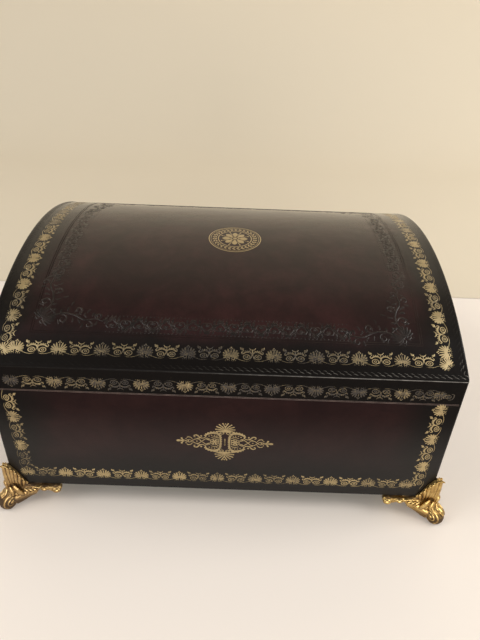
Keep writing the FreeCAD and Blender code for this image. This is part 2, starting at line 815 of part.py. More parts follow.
def shell_outline(sketch):
    """The front view of half a shell: round lobes that step down from its tip to the arm."""
    points = [("0", "0"), ("0", "shell_rise")]
    points += [(f"shell_reach * {along}", f"shell_rise * {up}") for along, up in SHELL_EDGE_SHARES]
    arcs = {}
    for index in range(len(SHELL_EDGE_SHARES)):
        (x0, z0), (x1, z1) = points[index + 1:index + 3]
        arcs[index + 1] = f"-(sqrt((({x1}) - ({x0})) ^ 2 + (({z1}) - ({z0})) ^ 2) * {SHELL_LOBE_SHARE})"
    outline(sketch, points, arcs)


def diagonal_sketch(body, name, across="0"):
    """A sketch on the upright plane of the corner's diagonal, shifted across it; its X points out."""
    sketch = sketch_on(body, "XZ_Plane", name)
    turn = FreeCAD.Rotation(FreeCAD.Vector(0, 1, 0), DIAGONAL_TURN)
    sketch.AttachmentOffset = FreeCAD.Placement(FreeCAD.Vector(), turn)
    for axis in "xz":
        sketch.setExpression(f"AttachmentOffset.Base.{axis}", expr(f"-({across}) * sqrt(1 / 2)"))
    return sketch


def toe_outline(sketch, inset, drop):
    """The toe's side view: hollow below the shell, then rolled over down to the sole."""
    points = [
        ("0", f"-{drop}"),
        (f"toe_waist - {inset}", f"-{drop}"),
        (f"toe_knee - {inset}", "-toe_knee_drop"),
        (f"toe_tip - {inset}", "-foot_height + sole_step"),
        ("toe_heel", "-foot_height + sole_step"),
    ]
    hollow = f"sqrt((toe_knee - toe_waist) ^ 2 + (toe_knee_drop - {drop}) ^ 2) / 2 * {TOE_HOLLOW_SHARE}"
    roll = "sqrt((toe_tip - toe_knee) ^ 2 + (foot_height - sole_step - toe_knee_drop) ^ 2) / 2"
    outline(sketch, points, {1: hollow, 2: f"-({roll} * {TOE_ROLL_SHARE})"})


def scrolled_toe(body, label):
    """The toe, drawn in at its sides, with a stepped eye on both and a flat sole set in."""
    sections = []
    for index, (across, inset, drop) in enumerate(TOE_SECTION_SHARES):
        section = diagonal_sketch(body, f"{label}_toe_{index}", f"toe_half_width * {across}")
        toe_outline(section, f"(toe_side_inset * {inset})", f"(toe_side_drop * {drop})")
        sections.append(section)
    toe = body.newObject("PartDesign::AdditiveLoft", f"{label}_toe")
    toe.Profile = sections[0]
    toe.Sections = sections[1:]
    toe.Ruled = True
    for name, radius, steps in (("ring", "eye_ring", 1), ("eye", "eye_radius", 2)):
        profile = diagonal_sketch(body, f"{label}_{name}_profile")
        circle(profile, "eye_out", "-eye_drop", radius)
        feature(body, "Pad", f"{label}_{name}", profile, f"2 * (toe_half_width + {steps} * eye_step)")
    side = "(toe_half_width - sole_step)"
    spots = [(f"(toe_tip - sole_step - toe_side_inset * {inset})", f"{side} * {across}")
             for across, inset, _ in TOE_SECTION_SHARES]
    spots += [("(toe_heel + sole_step)", side), ("(toe_heel + sole_step)", f"-{side}")]
    sole = sketch_on(body, "XY_Plane", f"{label}_sole_profile", "-foot_height + sole_step")
    outline(sole, [(f"-({out} + {across}) * sqrt(1 / 2)", f"-({out} - {across}) * sqrt(1 / 2)")
                   for out, across in spots])
    feature(body, "Pad", f"{label}_sole", sole, "2 * sole_step")


def flared_shell(body, label):
    """The shell's body, fitted round the corner, which leans out to its tip."""
    sections = []
    for index, (rise_share, reach_share, flare_share) in enumerate(FLARE_SHARES):
        section = sketch_on(body, "XY_Plane", f"{label}_flare_{index}", f"shell_rise * {rise_share}")
        reach = f"shell_reach * {reach_share}"
        corner = f"-(shell_root + (shell_flare - shell_root) * {flare_share})"
        points = [(reach, "-shell_edge"), (reach, "0"), ("0", "0"), ("0", reach), ("-shell_edge", reach),
                  (corner, corner)]
        outline(section, points)
        sections.append(section)
    flare = body.newObject("PartDesign::AdditiveLoft", f"{label}_flare")
    flare.Profile = sections[0]
    flare.Sections = sections[1:]
    flare.Ruled = True


def corner_foot(label, turn, x_sign, y_sign):
    """One cast foot, symmetric about the corner's diagonal."""
    body = doc.addObject("PartDesign::Body", label)
    for name, role, along in (("x", "XZ_Plane", -1), ("y", "YZ_Plane", 1)):
        arm = sketch_on(body, role, f"{label}_arm_{name}_profile", f"(arm_under - arm_proud) / 2 * {along}")
        arm_outline(arm)
        feature(body, "Pad", f"{label}_arm_{name}", arm, "arm_under + arm_proud")
        shell = sketch_on(body, role, f"{label}_shell_{name}_profile", f"-shell_thick / 2 * {along}")
        shell_outline(shell)
        feature(body, "Pad", f"{label}_shell_{name}", shell, "shell_thick")
    tabs = sketch_on(body, "XY_Plane", f"{label}_tabs_profile", "-tab_thick / 2")
    corners = [("0", "0"), ("tab_reach", "0"), ("tab_reach", "tab_width"), ("tab_width", "tab_width"),
               ("tab_width", "tab_reach"), ("0", "tab_reach")]
    round_end = f"tab_width * {TAB_ROUND_SHARE}"
    outline(tabs, corners, {1: round_end, 4: round_end})
    feature(body, "Pad", f"{label}_tabs", tabs, "tab_thick")
    flared_shell(body, label)
    scrolled_toe(body, label)
    spots = [("foot_screw_along", "foot_screw_inset"), ("foot_screw_inset", "foot_screw_along")]
    below = "-tab_thick - overrun"
    drill(body, "screw_holes", spots, "foot_screw_radius + screw_clearance", below, "overrun")
    drill(body, "head_recess", spots, "foot_screw_head_radius + screw_clearance",
          below, "-tab_thick + foot_screw_head")
    keep(body, label)
    place(body, f"{x_sign}half_width", f"{y_sign}half_depth", "foot_height", turn)


corner_foot("foot_front_left", "0", "-", "-")
corner_foot("foot_front_right", "90", "", "-")
corner_foot("foot_back_right", "180", "", "")
corner_foot("foot_back_left", "270", "-", "")

foot_screws = []
screw_sizes = ("foot_screw_radius", "foot_screw_length", "foot_screw_head_radius", "foot_screw_head")
for index, (x, y) in enumerate(foot_screw_spots()):
    foot_screws.append(screw(f"foot_screw_{index}", x, y, "-tab_thick", True, *screw_sizes))
place(keep(join("foot_screws", "Part::Compound", foot_screws), "foot_screws"), z="foot_height")

doc.recompute()

faults = [f"{item.Name}: {item.State}" for item in doc.Objects if {"Invalid", "Error"} & set(item.State)]
for piece in SUB_PARTS:
    if piece.Shape.isNull() or not piece.Shape.isValid() or not piece.Shape.Solids:
        faults.append(f"{piece.Label}: no valid shape")
if faults:
    raise ValueError("; ".join(faults))

os.makedirs("parts", exist_ok=True)
for piece in SUB_PARTS:
    piece.Shape.exportStep(f"parts/{piece.Label}.step")
    print(piece.Label, len(piece.Shape.Solids), "solids", round(piece.Shape.Volume), "mm3")
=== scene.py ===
"""Looks of a vaulted leather casket with gilt tooling, on four cast brass corner feet.

Every length is in millimetres until a mesh is made. X is the width, Y the depth with the front
towards -Y, and Z is up from the surface that the feet stand on.
"""

import logging
import math
import random
from collections.abc import Callable, Sequence
from dataclasses import dataclass
from enum import Enum
from typing import ClassVar, TypeVar

import bmesh
import bpy
import numpy as np
from mathutils import Matrix, Vector
from mathutils import noise as soft_noise


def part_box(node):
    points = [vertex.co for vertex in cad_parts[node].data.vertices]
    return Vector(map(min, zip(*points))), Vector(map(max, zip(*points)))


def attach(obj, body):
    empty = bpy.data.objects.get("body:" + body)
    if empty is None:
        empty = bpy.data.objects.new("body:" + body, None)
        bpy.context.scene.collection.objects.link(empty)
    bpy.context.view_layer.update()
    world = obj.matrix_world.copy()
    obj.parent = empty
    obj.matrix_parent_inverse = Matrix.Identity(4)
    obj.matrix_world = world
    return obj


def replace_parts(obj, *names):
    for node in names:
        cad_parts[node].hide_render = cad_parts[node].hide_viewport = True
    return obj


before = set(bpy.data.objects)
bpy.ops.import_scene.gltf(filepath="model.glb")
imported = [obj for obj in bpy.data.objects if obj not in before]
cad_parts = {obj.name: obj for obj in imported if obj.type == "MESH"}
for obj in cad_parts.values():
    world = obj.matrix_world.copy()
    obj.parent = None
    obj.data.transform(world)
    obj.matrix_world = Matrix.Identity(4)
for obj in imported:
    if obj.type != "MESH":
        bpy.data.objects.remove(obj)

LOG = logging.getLogger("casket")
MM = 0.001
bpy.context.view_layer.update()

Spot = tuple[float, float]
Colour = tuple[float, float, float]
Face = tuple[int, ...]
Place = TypeVar("Place", np.ndarray, Vector)


def node_box(name: str) -> tuple[Vector, Vector]:
    """The lowest and highest corners of a CAD node.

    Args:
        name: The node's name in the frame.

    Returns:
        Both corners in millimetres.
    """
    low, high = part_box(name)
    return Vector(low) / MM, Vector(high) / MM


@dataclass(frozen=True)
class CasketSizes:
    """Sizes of the box that its dress follows.

    The first six are read from the frame's pieces. The last three are named sizes of the
    construction that no piece's box gives on its own.
    """

    half_width: float
    half_depth: float
    foot: float
    seam: float
    lid_bottom: float
    apex: float
    band: float = 21.4
    leather: float = 1.2
    corner_round: float = 2.0

    @classmethod
    def from_frame(cls) -> "CasketSizes":
        """Reads the leather's corners, which hold every outer size of the box."""
        base_low, base_high = node_box("base_leather")
        lid_low, _ = node_box("lid_side_leather")
        _, top_high = node_box("lid_top_leather")
        return cls(
            half_width=base_high.x,
            half_depth=base_high.y,
            foot=base_low.z,
            seam=base_high.z,
            lid_bottom=lid_low.z,
            apex=top_high.z,
        )

    @property
    def arris(self) -> float:
        """Height of the edge where the band meets the vault."""
        return self.lid_bottom + self.band

    @property
    def vault_radius(self) -> float:
        """Radius of the vault's outer surface."""
        rise = self.apex - self.arris
        return (self.half_depth**2 + rise**2) / (2 * rise)

    @property
    def vault_centre(self) -> float:
        """Height of the axis that the vault bends about, far below the box."""
        return self.apex - self.vault_radius

    @property
    def half_angle(self) -> float:
        """Half the angle that the vault spans, in radians."""
        return math.asin(self.half_depth / self.vault_radius)

    @property
    def arc_length(self) -> float:
        """Length of leather over the vault from the front arris to the back one."""
        return 2 * self.half_angle * self.vault_radius


SIZES = CasketSizes.from_frame()


class Side(Enum):
    """An upright side of the box, by the direction of its width as seen from outside."""

    FRONT = (1, 0)
    RIGHT = (0, 1)
    BACK = (-1, 0)
    LEFT = (0, -1)

    @property
    def half(self) -> float:
        """Half its width."""
        return SIZES.half_width if self.value[1] == 0 else SIZES.half_depth


@dataclass(frozen=True)
class FlatPanel:
    """A flat side of the box that stamps are laid on.

    Places on it are (along, up): along from the middle, to the right as seen from outside, and
    up from the panel's lower edge.
    """

    side: Side
    floor: float

    def lay(self, spots: np.ndarray) -> np.ndarray:
        """Puts stamp points on the panel.

        Args:
            spots: Rows of along, up and lift off the surface.

        Returns:
            Rows of x, y and z.
        """
        ax, ay = self.side.value
        normal = np.array([ay, -ax, 0.0])
        reach = SIZES.half_depth if ay == 0 else SIZES.half_width
        origin = normal * reach + np.array([0, 0, self.floor])
        flat = np.outer(spots[:, 0], [ax, ay, 0]) + np.outer(spots[:, 1], [0, 0, 1])
        return origin + flat + np.outer(spots[:, 2], normal)


@dataclass(frozen=True)
class VaultPanel:
    """The vault's outer surface. Places on it are (x, length of leather from the front arris).

    Attributes:
        sink: How far it lies below the drawn vault, away from its edges.
        sink_in: How far in from the edges it is fully sunk.
    """

    sink: ClassVar[float] = 0.4
    sink_in: ClassVar[float] = 6.0

    def sunk(self, edge: np.ndarray) -> np.ndarray:
        """How far the surface is sunk at a distance from its nearest edge."""
        return self.sink * np.clip(edge / self.sink_in, 0, 1)

    def lay(self, spots: np.ndarray) -> np.ndarray:
        """Puts stamp points on the vault.

        Args:
            spots: Rows of x, arc length and lift off the surface.

        Returns:
            Rows of x, y and z.
        """
        angle = spots[:, 1] / SIZES.vault_radius - SIZES.half_angle
        edge = np.minimum(SIZES.half_width - np.abs(spots[:, 0]),
                          np.minimum(spots[:, 1], SIZES.arc_length - spots[:, 1]))
        radius = SIZES.vault_radius + spots[:, 2] - self.sunk(edge)
        return np.column_stack([spots[:, 0], radius * np.sin(angle),
                                SIZES.vault_centre + radius * np.cos(angle)])


Panel = FlatPanel | VaultPanel
VAULT = VaultPanel()


def through(four: Sequence[Place], share: float) -> Place:
    """A point of a smooth line, a share of the way from the second to the third of four points."""
    p0, p1, p2, p3 = four
    return 0.5 * (2 * p1 + (p2 - p0) * share + (2 * p0 - 5 * p1 + 4 * p2 - p3) * share**2
                  + (3 * p1 - p0 - 3 * p2 + p3) * share**3)


def polar(centre: Spot, reach: float, turn: float) -> Spot:
    """The point at a distance and an angle in radians from a centre."""
    return centre[0] + reach * math.cos(turn), centre[1] + reach * math.sin(turn)


def curve_through(points: Sequence[Spot], steps: int) -> np.ndarray:
    """A smooth line through points.

    Args:
        points: The points that it passes.
        steps: Pieces between each two points.

    Returns:
        Rows of the line's points.
    """
    known = np.array(points, dtype=float)
    padded = np.vstack([2 * known[0] - known[1], known, 2 * known[-1] - known[-2]])
    line = [through(padded[index - 1:index + 3], share)
            for index in range(1, len(padded) - 2) for share in np.linspace(0, 1, steps, endpoint=False)]
    line.append(known[-1])
    return np.array(line)


def spiral(centre: Spot, radii: Spot, turn_deg: Spot, count: int) -> list[Spot]:
    """Points of a spiral.

    Args:
        centre: Its middle.
        radii: Radius at its start and its end.
        turn_deg: Angle at its start and its end, in degrees.
        count: How many points it has.

    Returns:
        The points in order.
    """
    angles = np.radians(np.linspace(*turn_deg, count))
    return [polar(centre, reach, angle) for reach, angle in zip(np.linspace(*radii, count), angles)]


class Stamp:
    """A flat ornament of raised strokes, leaves and dots, as points (along, across, lift)."""

    SINK = -0.03
    LEAF = (0.2, 0.45, 0.8, 1, 0.85, 0.15)
    PETAL = (0.3, 0.5, 0.72, 0.92, 1, 0.62)

    def __init__(self) -> None:
        """Starts an empty stamp."""
        self.spots = np.zeros((0, 3))
        self.faces: list[Face] = []

    def merge(self, spots: np.ndarray, faces: list[Face]) -> "Stamp":
        """Adds points and faces, and returns the stamp itself."""
        start = len(self.spots)
        self.spots = np.vstack([self.spots, spots])
        self.faces += [tuple(start + corner for corner in face) for face in faces]
        return self

    def stroke(self, points: Sequence[Spot], widths: Sequence[float], relief: float = 0.12,
               steps: int = 4) -> "Stamp":
        """Adds a stroke with a raised middle.

        Args:
            points: The points that its middle line passes.
            widths: Its width at even steps from its start to its end.
            relief: Height of its middle.
            steps: Pieces between each two points.

        Returns:
            The stamp itself.
        """
        line = curve_through(points, steps)
        along = np.gradient(line, axis=0)
        along /= np.maximum(np.linalg.norm(along, axis=1, keepdims=True), 1e-9)
        across = np.column_stack([-along[:, 1], along[:, 0]])
        half = np.interp(np.linspace(0, 1, len(line)), np.linspace(0, 1, len(widths)), widths)[:, None] / 2
        sunk = np.full(len(line), self.SINK)
        raised = relief * np.minimum(1, half[:, 0] / 0.25 + 0.3)
        rows = [np.column_stack([line + across * half, sunk]), np.column_stack([line, raised]),
                np.column_stack([line - across * half, sunk])]
        spots = np.stack(rows, axis=1).reshape(-1, 3)
        faces = []
        for step in range(len(line) - 1):
            a = 3 * step
            faces += [(a, a + 1, a + 4, a + 3), (a + 1, a + 2, a + 5, a + 4)]
        return self.merge(spots, faces)

    def leaf(self, start: Spot, end: Spot, width: float, bend: float = 0.0,
             shape: Sequence[float] = LEAF) -> "Stamp":
        """Adds a leaf or petal, widest past its middle.

        Args:
            start: Its stalk.
            end: Its tip.
            width: Its greatest width.
            bend: How far its middle bows to the left.
            shape: Shares of its width at even steps from stalk to tip.

        Returns:
            The stamp itself.
        """
        middle = ((start[0] + end[0]) / 2 - (end[1] - start[1]) * bend,
                  (start[1] + end[1]) / 2 + (end[0] - start[0]) * bend)
        return self.stroke([start, middle, end], [width * share for share in shape])

    def petal(self, start: Spot, end: Spot, width: float, bend: float = 0.0) -> "Stamp":
        """Adds a petal like a leaf, but with a blunt round tip."""
        return self.leaf(start, end, width, bend, self.PETAL)

    def oval(self, centre: Spot, half: Spot, width: float, relief: float = 0.14) -> "Stamp":
        """Adds an oval ring with two half sizes."""
        ring = [(centre[0] + half[0] * math.cos(turn), centre[1] + half[1] * math.sin(turn))
                for turn in np.radians(np.arange(0, 361, 20))]
        return self.stroke(ring, [width, width], relief, 1)

    def dot(self, centre: Spot, radius: float, relief: float = 0.18) -> "Stamp":
        """Adds a round dot with a raised middle."""
        ring = [(*spot, self.SINK) for spot in spiral(centre, (radius, radius), (0, 315), 8)]
        spots = np.array([(*centre, relief), *ring])
        return self.merge(spots, [(0, 1 + i, 1 + (i + 1) % 8) for i in range(8)])

    def add(self, other: "Stamp", along: float = 0, across: float = 0, turn_deg: float = 0,
            size: float = 1, mirror: bool = False) -> "Stamp":
        """Adds a copy of another stamp.

        Args:
            other: The stamp that is copied.
            along: Where the copy's middle lies, along.
            across: Where the copy's middle lies, across.
            turn_deg: Its turn, anticlockwise.
            size: Its scale in the plane.
            mirror: Whether it is flipped left to right first.

        Returns:
            The stamp itself.
        """
        spots = other.spots.copy()
        spots[:, :2] *= size
        faces = other.faces
        if mirror:
            spots[:, 0] *= -1
            faces = [face[::-1] for face in faces]
        cos, sin = math.cos(math.radians(turn_deg)), math.sin(math.radians(turn_deg))
        u, v = spots[:, 0].copy(), spots[:, 1].copy()
        spots[:, 0] = along + cos * u - sin * v
        spots[:, 1] = across + sin * u + cos * v
        return self.merge(spots, faces)


class Piece:
    """A Blender piece built from gathered points and faces in millimetres."""

    def __init__(self, name: str, body: str) -> None:
        """Starts an empty piece that will ride on a body."""
        self.name = name
        self.body = body
        self.points: list[np.ndarray] = []
        self.faces: list[Face] = []
        self.wear: list[np.ndarray] = []
        self.count = 0

    def gather(self, points: np.ndarray, faces: list[Face], wear: float = 0.0) -> None:
        """Adds points and faces.

        Args:
            points: Rows of x, y and z.
            faces: Corners of each face.
            wear: How rubbed these faces are, from 0 to 1.
        """
        self.faces += [tuple(self.count + corner for corner in face) for face in faces]
        self.points.append(points)
        self.wear.append(np.full(len(points), wear))
        self.count += len(points)

    def finish(self, material: bpy.types.Material, slot: str, smooth: bool = True) -> bpy.types.Object:
        """Makes the mesh and its object, which rides on its body.

        Args:
            material: What it is made of.
            slot: The record's material slot; not used.
            smooth: Whether its faces are shaded smooth.

        Returns:
            The new object.
        """
        mesh = bpy.data.meshes.new(self.name)
        mesh.from_pydata((np.vstack(self.points) * MM).tolist(), [], self.faces)
        attribute = mesh.attributes.new("wear", "FLOAT", "POINT")
        attribute.data.foreach_set("value", np.concatenate(self.wear).astype(np.float32))
        mesh.shade_smooth() if smooth else mesh.shade_flat()
        return self.show(mesh, material)

    def show(self, mesh: bpy.types.Mesh, material: bpy.types.Material) -> bpy.types.Object:
        """Links a mesh as this piece's object, which rides on its body."""
        mesh.materials.clear()
        mesh.materials.append(material)
        made = bpy.data.objects.new(self.name, mesh)
        bpy.context.scene.collection.objects.link(made)
        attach(made, self.body)
        LOG.info("%s: %d faces on %s", self.name, len(mesh.polygons), self.body)
        return made


class Shader:
    """A material's node tree, built by short calls."""

    def __init__(self, name: str) -> None:
        """Starts a material with a plain Principled surface."""
        self.material = bpy.data.materials.new(name)
        self.material.use_nodes = True
        self.tree = self.material.node_tree
        self.surface = self.tree.nodes["Principled BSDF"]

    def node(self, kind: str, **settings: object) -> bpy.types.Node:
        """Adds a node and sets its properties."""
        made = self.tree.nodes.new(kind)
        for name, value in settings.items():
            setattr(made, name, value)
        return made

    def feed(self, socket: bpy.types.NodeSocket, value: object) -> None:
        """Links an output to a socket, or sets the socket to a number or colour."""
        if isinstance(value, bpy.types.NodeSocket):
            self.tree.links.new(value, socket)
        elif isinstance(value, tuple) and len(value) == 3 and len(socket.default_value) == 4:
            socket.default_value = (*value, 1)
        else:
            socket.default_value = value

    def math(self, operation: str, *values: object) -> bpy.types.NodeSocket:
        """The result of a Math node."""
        made = self.node("ShaderNodeMath", operation=operation)
        for socket, value in zip(made.inputs, values):
            self.feed(socket, value)
        return made.outputs[0]

    def fill(self, made: bpy.types.Node, **values: object) -> bpy.types.Node:
        """Feeds a node's sockets, named with underscores for spaces, and returns the node."""
        for name, value in values.items():
            self.feed(made.inputs[name.replace("_", " ")], value)
        return made

    def place(self, stretch: Colour = (1, 1, 1)) -> bpy.types.NodeSocket:
        """The place on the object in metres, stretched along its axes."""
        source = self.node("ShaderNodeTexCoord").outputs["Object"]
        if stretch == (1, 1, 1):
            return source
        return self.fill(self.node("ShaderNodeMapping"), Vector=source, Scale=stretch).outputs[0]

    def axes(self) -> bpy.types.bpy_prop_collection:
        """The place on the object in metres, as its X, Y and Z."""
        made = self.node("ShaderNodeSeparateXYZ")
        self.feed(made.inputs[0], self.place())
        return made.outputs

    def wear(self) -> bpy.types.NodeSocket:
        """The wear that each point of the mesh carries; on the feet it also holds painted shade."""
        return self.node("ShaderNodeAttribute", attribute_name="wear").outputs["Fac"]

    def noise(self, size_mm: float, detail: float = 3, rough: float = 0.55, distortion: float = 0,
              stretch: Colour = (1, 1, 1)) -> bpy.types.NodeSocket:
        """Cloudy noise whose features are about a size in millimetres."""
        made = self.fill(self.node("ShaderNodeTexNoise"), Vector=self.place(stretch), Detail=detail,
                         Scale=1 / (size_mm * MM), Roughness=rough, Distortion=distortion)
        return made.outputs["Fac"]

    def cells(self, size_mm: float) -> bpy.types.NodeSocket:
        """Distance in a pattern of cells about a size in millimetres."""
        made = self.fill(self.node("ShaderNodeTexVoronoi"), Vector=self.place(), Scale=1 / (size_mm * MM))
        return made.outputs["Distance"]

    def span(self, value: object, low: float, high: float, start: object = 0.0,
             end: object = 1.0) -> bpy.types.NodeSocket:
        """A value mapped smoothly from one range to another and held between its ends."""
        made = self.node("ShaderNodeMapRange", interpolation_type="SMOOTHSTEP")
        return self.fill(made, Value=value, From_Min=low, From_Max=high, To_Min=start, To_Max=end).outputs[0]

    def mix(self, share: object, first: object, second: object, blend: str = "MIX") -> bpy.types.NodeSocket:
        """A mix of two colours."""
        made = self.node("ShaderNodeMix", data_type="RGBA", blend_type=blend)
        for index, value in ((0, share), (6, first), (7, second)):
            self.feed(made.inputs[index], value)
        return made.outputs[2]

    def bump(self, height: object, depth_mm: float, strength: float,
             under: object = None) -> bpy.types.NodeSocket:
        """A bump from a height, over another bump if one is given."""
        made = self.node("ShaderNodeBump")
        self.fill(made, Strength=strength, Distance=depth_mm * MM, Height=height)
        if under is not None:
            self.feed(made.inputs["Normal"], under)
        return made.outputs[0]

    def surface_of(self, **values: object) -> bpy.types.Material:
        """Sets the surface's sockets, named with underscores for spaces, and returns the material."""
        self.fill(self.surface, **values)
        return self.material


class Region(Enum):
    """A part of the leather, which says where its stain darkens towards the edges."""

    BASE = "base"
    LID_TOP = "lid_top"
    LID_SIDE = "lid_side"


@dataclass(frozen=True)
class LeatherFinish:
    """Waxed calf, stained dark at the borders and mottled maroon in the fields."""

    field_dark: Colour = (0.0105, 0.0047, 0.0048)
    field_warm: Colour = (0.0185, 0.0078, 0.0074)
    border: Colour = (0.0050, 0.0041, 0.0037)
    rubbed: Colour = (0.085, 0.052, 0.036)
    fade_start: float = 17.0
    fade_end: float = 52.0
    gloss: float = 0.24
    gloss_high: float = 0.04
    wax: float = 0.0

    def edge_distance(self, shader: Shader, region: Region) -> bpy.types.NodeSocket:
        """Distance in metres from the nearest edge of the panel that a point lies on."""
        x, y, z = shader.axes()
        to_end = shader.math("SUBTRACT", SIZES.half_width * MM, shader.math("ABSOLUTE", x))
        to_front = shader.math("SUBTRACT", SIZES.half_depth * MM, shader.math("ABSOLUTE", y))
        if region is Region.LID_TOP:
            return shader.math("MINIMUM", to_end, to_front)
        floor = SIZES.foot if region is Region.BASE else SIZES.lid_bottom
        up = shader.math("SUBTRACT", z, floor * MM)
        return shader.math("MINIMUM", shader.math("MAXIMUM", to_end, to_front), up)

    def build(self, name: str, region: Region) -> bpy.types.Material:
        """Makes the leather of one region."""
        shader = Shader(name)
        distance = self.edge_distance(shader, region)
        # stain, dark at the borders, clouded and mottled in the field
        near = shader.math("ADD", distance, -11 * MM)
        waver = shader.math("MULTIPLY_ADD", shader.noise(38, 3), 22 * MM, near)
        inside = shader.span(waver, self.fade_start * MM, self.fade_end * MM)
        clouds = shader.span(shader.noise(38, 5, 0.66, 0.5), 0.28, 0.74)
        mottle = shader.span(shader.noise(11, 5, 0.7), 0.38, 0.66)
        field_colour = shader.mix(clouds, self.field_dark, self.field_warm)
        field_colour = shader.mix(shader.math("MULTIPLY", mottle, 0.5), field_colour, self.field_dark)
        colour = shader.mix(inside, self.border, field_colour)
        # scuffs, most of them close to the edges
        scuffs = shader.span(shader.noise(3.5, 6, 0.75), 0.62, 0.78)
        near_edge = shader.span(distance, 0.4 * MM, 2.6 * MM, 1.0, 0.0)
        scuffs = shader.math("MULTIPLY", scuffs, shader.math("MULTIPLY_ADD", near_edge, 0.5, 0.05))
        colour = shader.mix(scuffs, colour, self.rubbed)
        # pores, and the slower pull of the skin over the board
        pores = shader.math("MULTIPLY", shader.cells(0.9), -0.6)
        grain = shader.math("ADD", shader.noise(0.55, 4, 0.6), pores)
        pull = shader.noise(17, 3, 0.5)
        normal = shader.bump(grain, 0.09, 0.32, shader.bump(pull, 1.3, 0.22))
        # gloss, which falls off up the base, and a coat of wax that starts behind the front
        shine = shader.math("MULTIPLY_ADD", shader.noise(24, 5, 0.65), 0.2, 0.3)
        gloss: object = self.gloss
        if region is Region.BASE:
            low, high = (SIZES.foot + 35) * MM, (SIZES.seam - 8) * MM
            gloss = shader.span(shader.axes()[2], low, high, self.gloss, self.gloss_high)
        polish = shader.math("MULTIPLY_ADD", shader.noise(30, 4, 0.6), 0.14, 0.06)
        wax: object = 0.0
        if self.wax:
            start, end = (5 - SIZES.half_depth) * MM, (27 - SIZES.half_depth) * MM
            wax = shader.span(shader.axes()[1], start, end, 0.12 * self.wax, self.wax)
        return shader.surface_of(Base_Color=colour, Roughness=shine, Normal=normal, Specular_IOR_Level=gloss,
                                 Coat_Weight=wax, Coat_Roughness=polish, Coat_IOR=1.37,
                                 Coat_Normal=shader.bump(pull, 1.3, 0.12))


@dataclass(frozen=True)
class BlindFinish:
    """Leather that a warm tool pressed and darkened without gold. Its paler second colour is its tone in the
    blind tooling, and painted sheen on the rope, the fillets and the rims, where it also stands for wear.
    """

    colour: Colour = (0.0065, 0.0042, 0.0040)
    light: Colour = (0.030, 0.020, 0.018)
    pale_wear_and_sheen: float = 0.0
    gloss: float = 0.3
    wax: float = 0.0
    painted_sheen_slopes: bool = False

    def build(self, name: str) -> bpy.types.Material:
        """Makes the finish."""
        shader = Shader(name)
        clouds = shader.span(shader.noise(7, 4), 0.35, 0.7)
        patches = shader.math("MULTIPLY_ADD", clouds, 0.5, self.pale_wear_and_sheen)
        # painted sheen: with the slopes set, the pale colour grows towards the right and towards the front of
        # the lid
        if self.painted_sheen_slopes:
            x, y, _ = shader.axes()
            patches = shader.math("MULTIPLY", patches, shader.span(x, -0.06, 0.12, 0.04, 1.0))
            patches = shader.math("MULTIPLY", patches, shader.span(y, -0.128, -0.112, 1.0, 0.1))
        colour = shader.mix(patches, self.colour, self.light)
        normal = shader.bump(shader.noise(0.5, 3), 0.06, 0.3)
        shine = shader.math("MULTIPLY_ADD", shader.noise(6, 3), 0.16, 0.24)
        gloss = shader.math("MULTIPLY", patches, 2 * self.gloss) if self.painted_sheen_slopes else self.gloss
        return shader.surface_of(Base_Color=colour, Roughness=shine, Normal=normal, Specular_IOR_Level=gloss,
                                 Coat_Weight=self.wax, Coat_Roughness=0.2)


@dataclass(frozen=True)
class GiltFinish:
    """Gold leaf pressed into leather, bright where fresh and rubbed back in patches."""

    bright: Colour = (0.465, 0.365, 0.19)
    dull: Colour = (0.14, 0.109, 0.064)
    leather: Colour = (0.016, 0.011, 0.008)
    wax: float = 0.0

    def build(self, name: str) -> bpy.types.Material:
        """Makes the finish, which reads the wear that each stamp carries."""
        shader = Shader(name)
        wear = shader.wear()
        clouds = shader.math("MULTIPLY_ADD", shader.noise(6, 4, 0.7), 0.9, -0.45)
        faded = shader.span(shader.math("ADD", wear, clouds), 0.1, 0.95)
        colour = shader.mix(faded, self.bright, self.dull)
        specks = shader.span(shader.math("MULTIPLY_ADD", wear, 0.32, shader.noise(1.1, 4, 0.75)), 0.68, 0.8)
        colour = shader.mix(specks, colour, self.leather)
        metal = shader.math("MULTIPLY_ADD", specks, -0.75, 0.82)
        shine = shader.math("MULTIPLY_ADD", faded, 0.16, 0.34)
        normal = shader.bump(shader.noise(0.7, 3), 0.05, 0.35)
        return shader.surface_of(Base_Color=colour, Metallic=metal, Roughness=shine, Normal=normal,
                                 Coat_Weight=self.wax, Coat_Roughness=0.2)


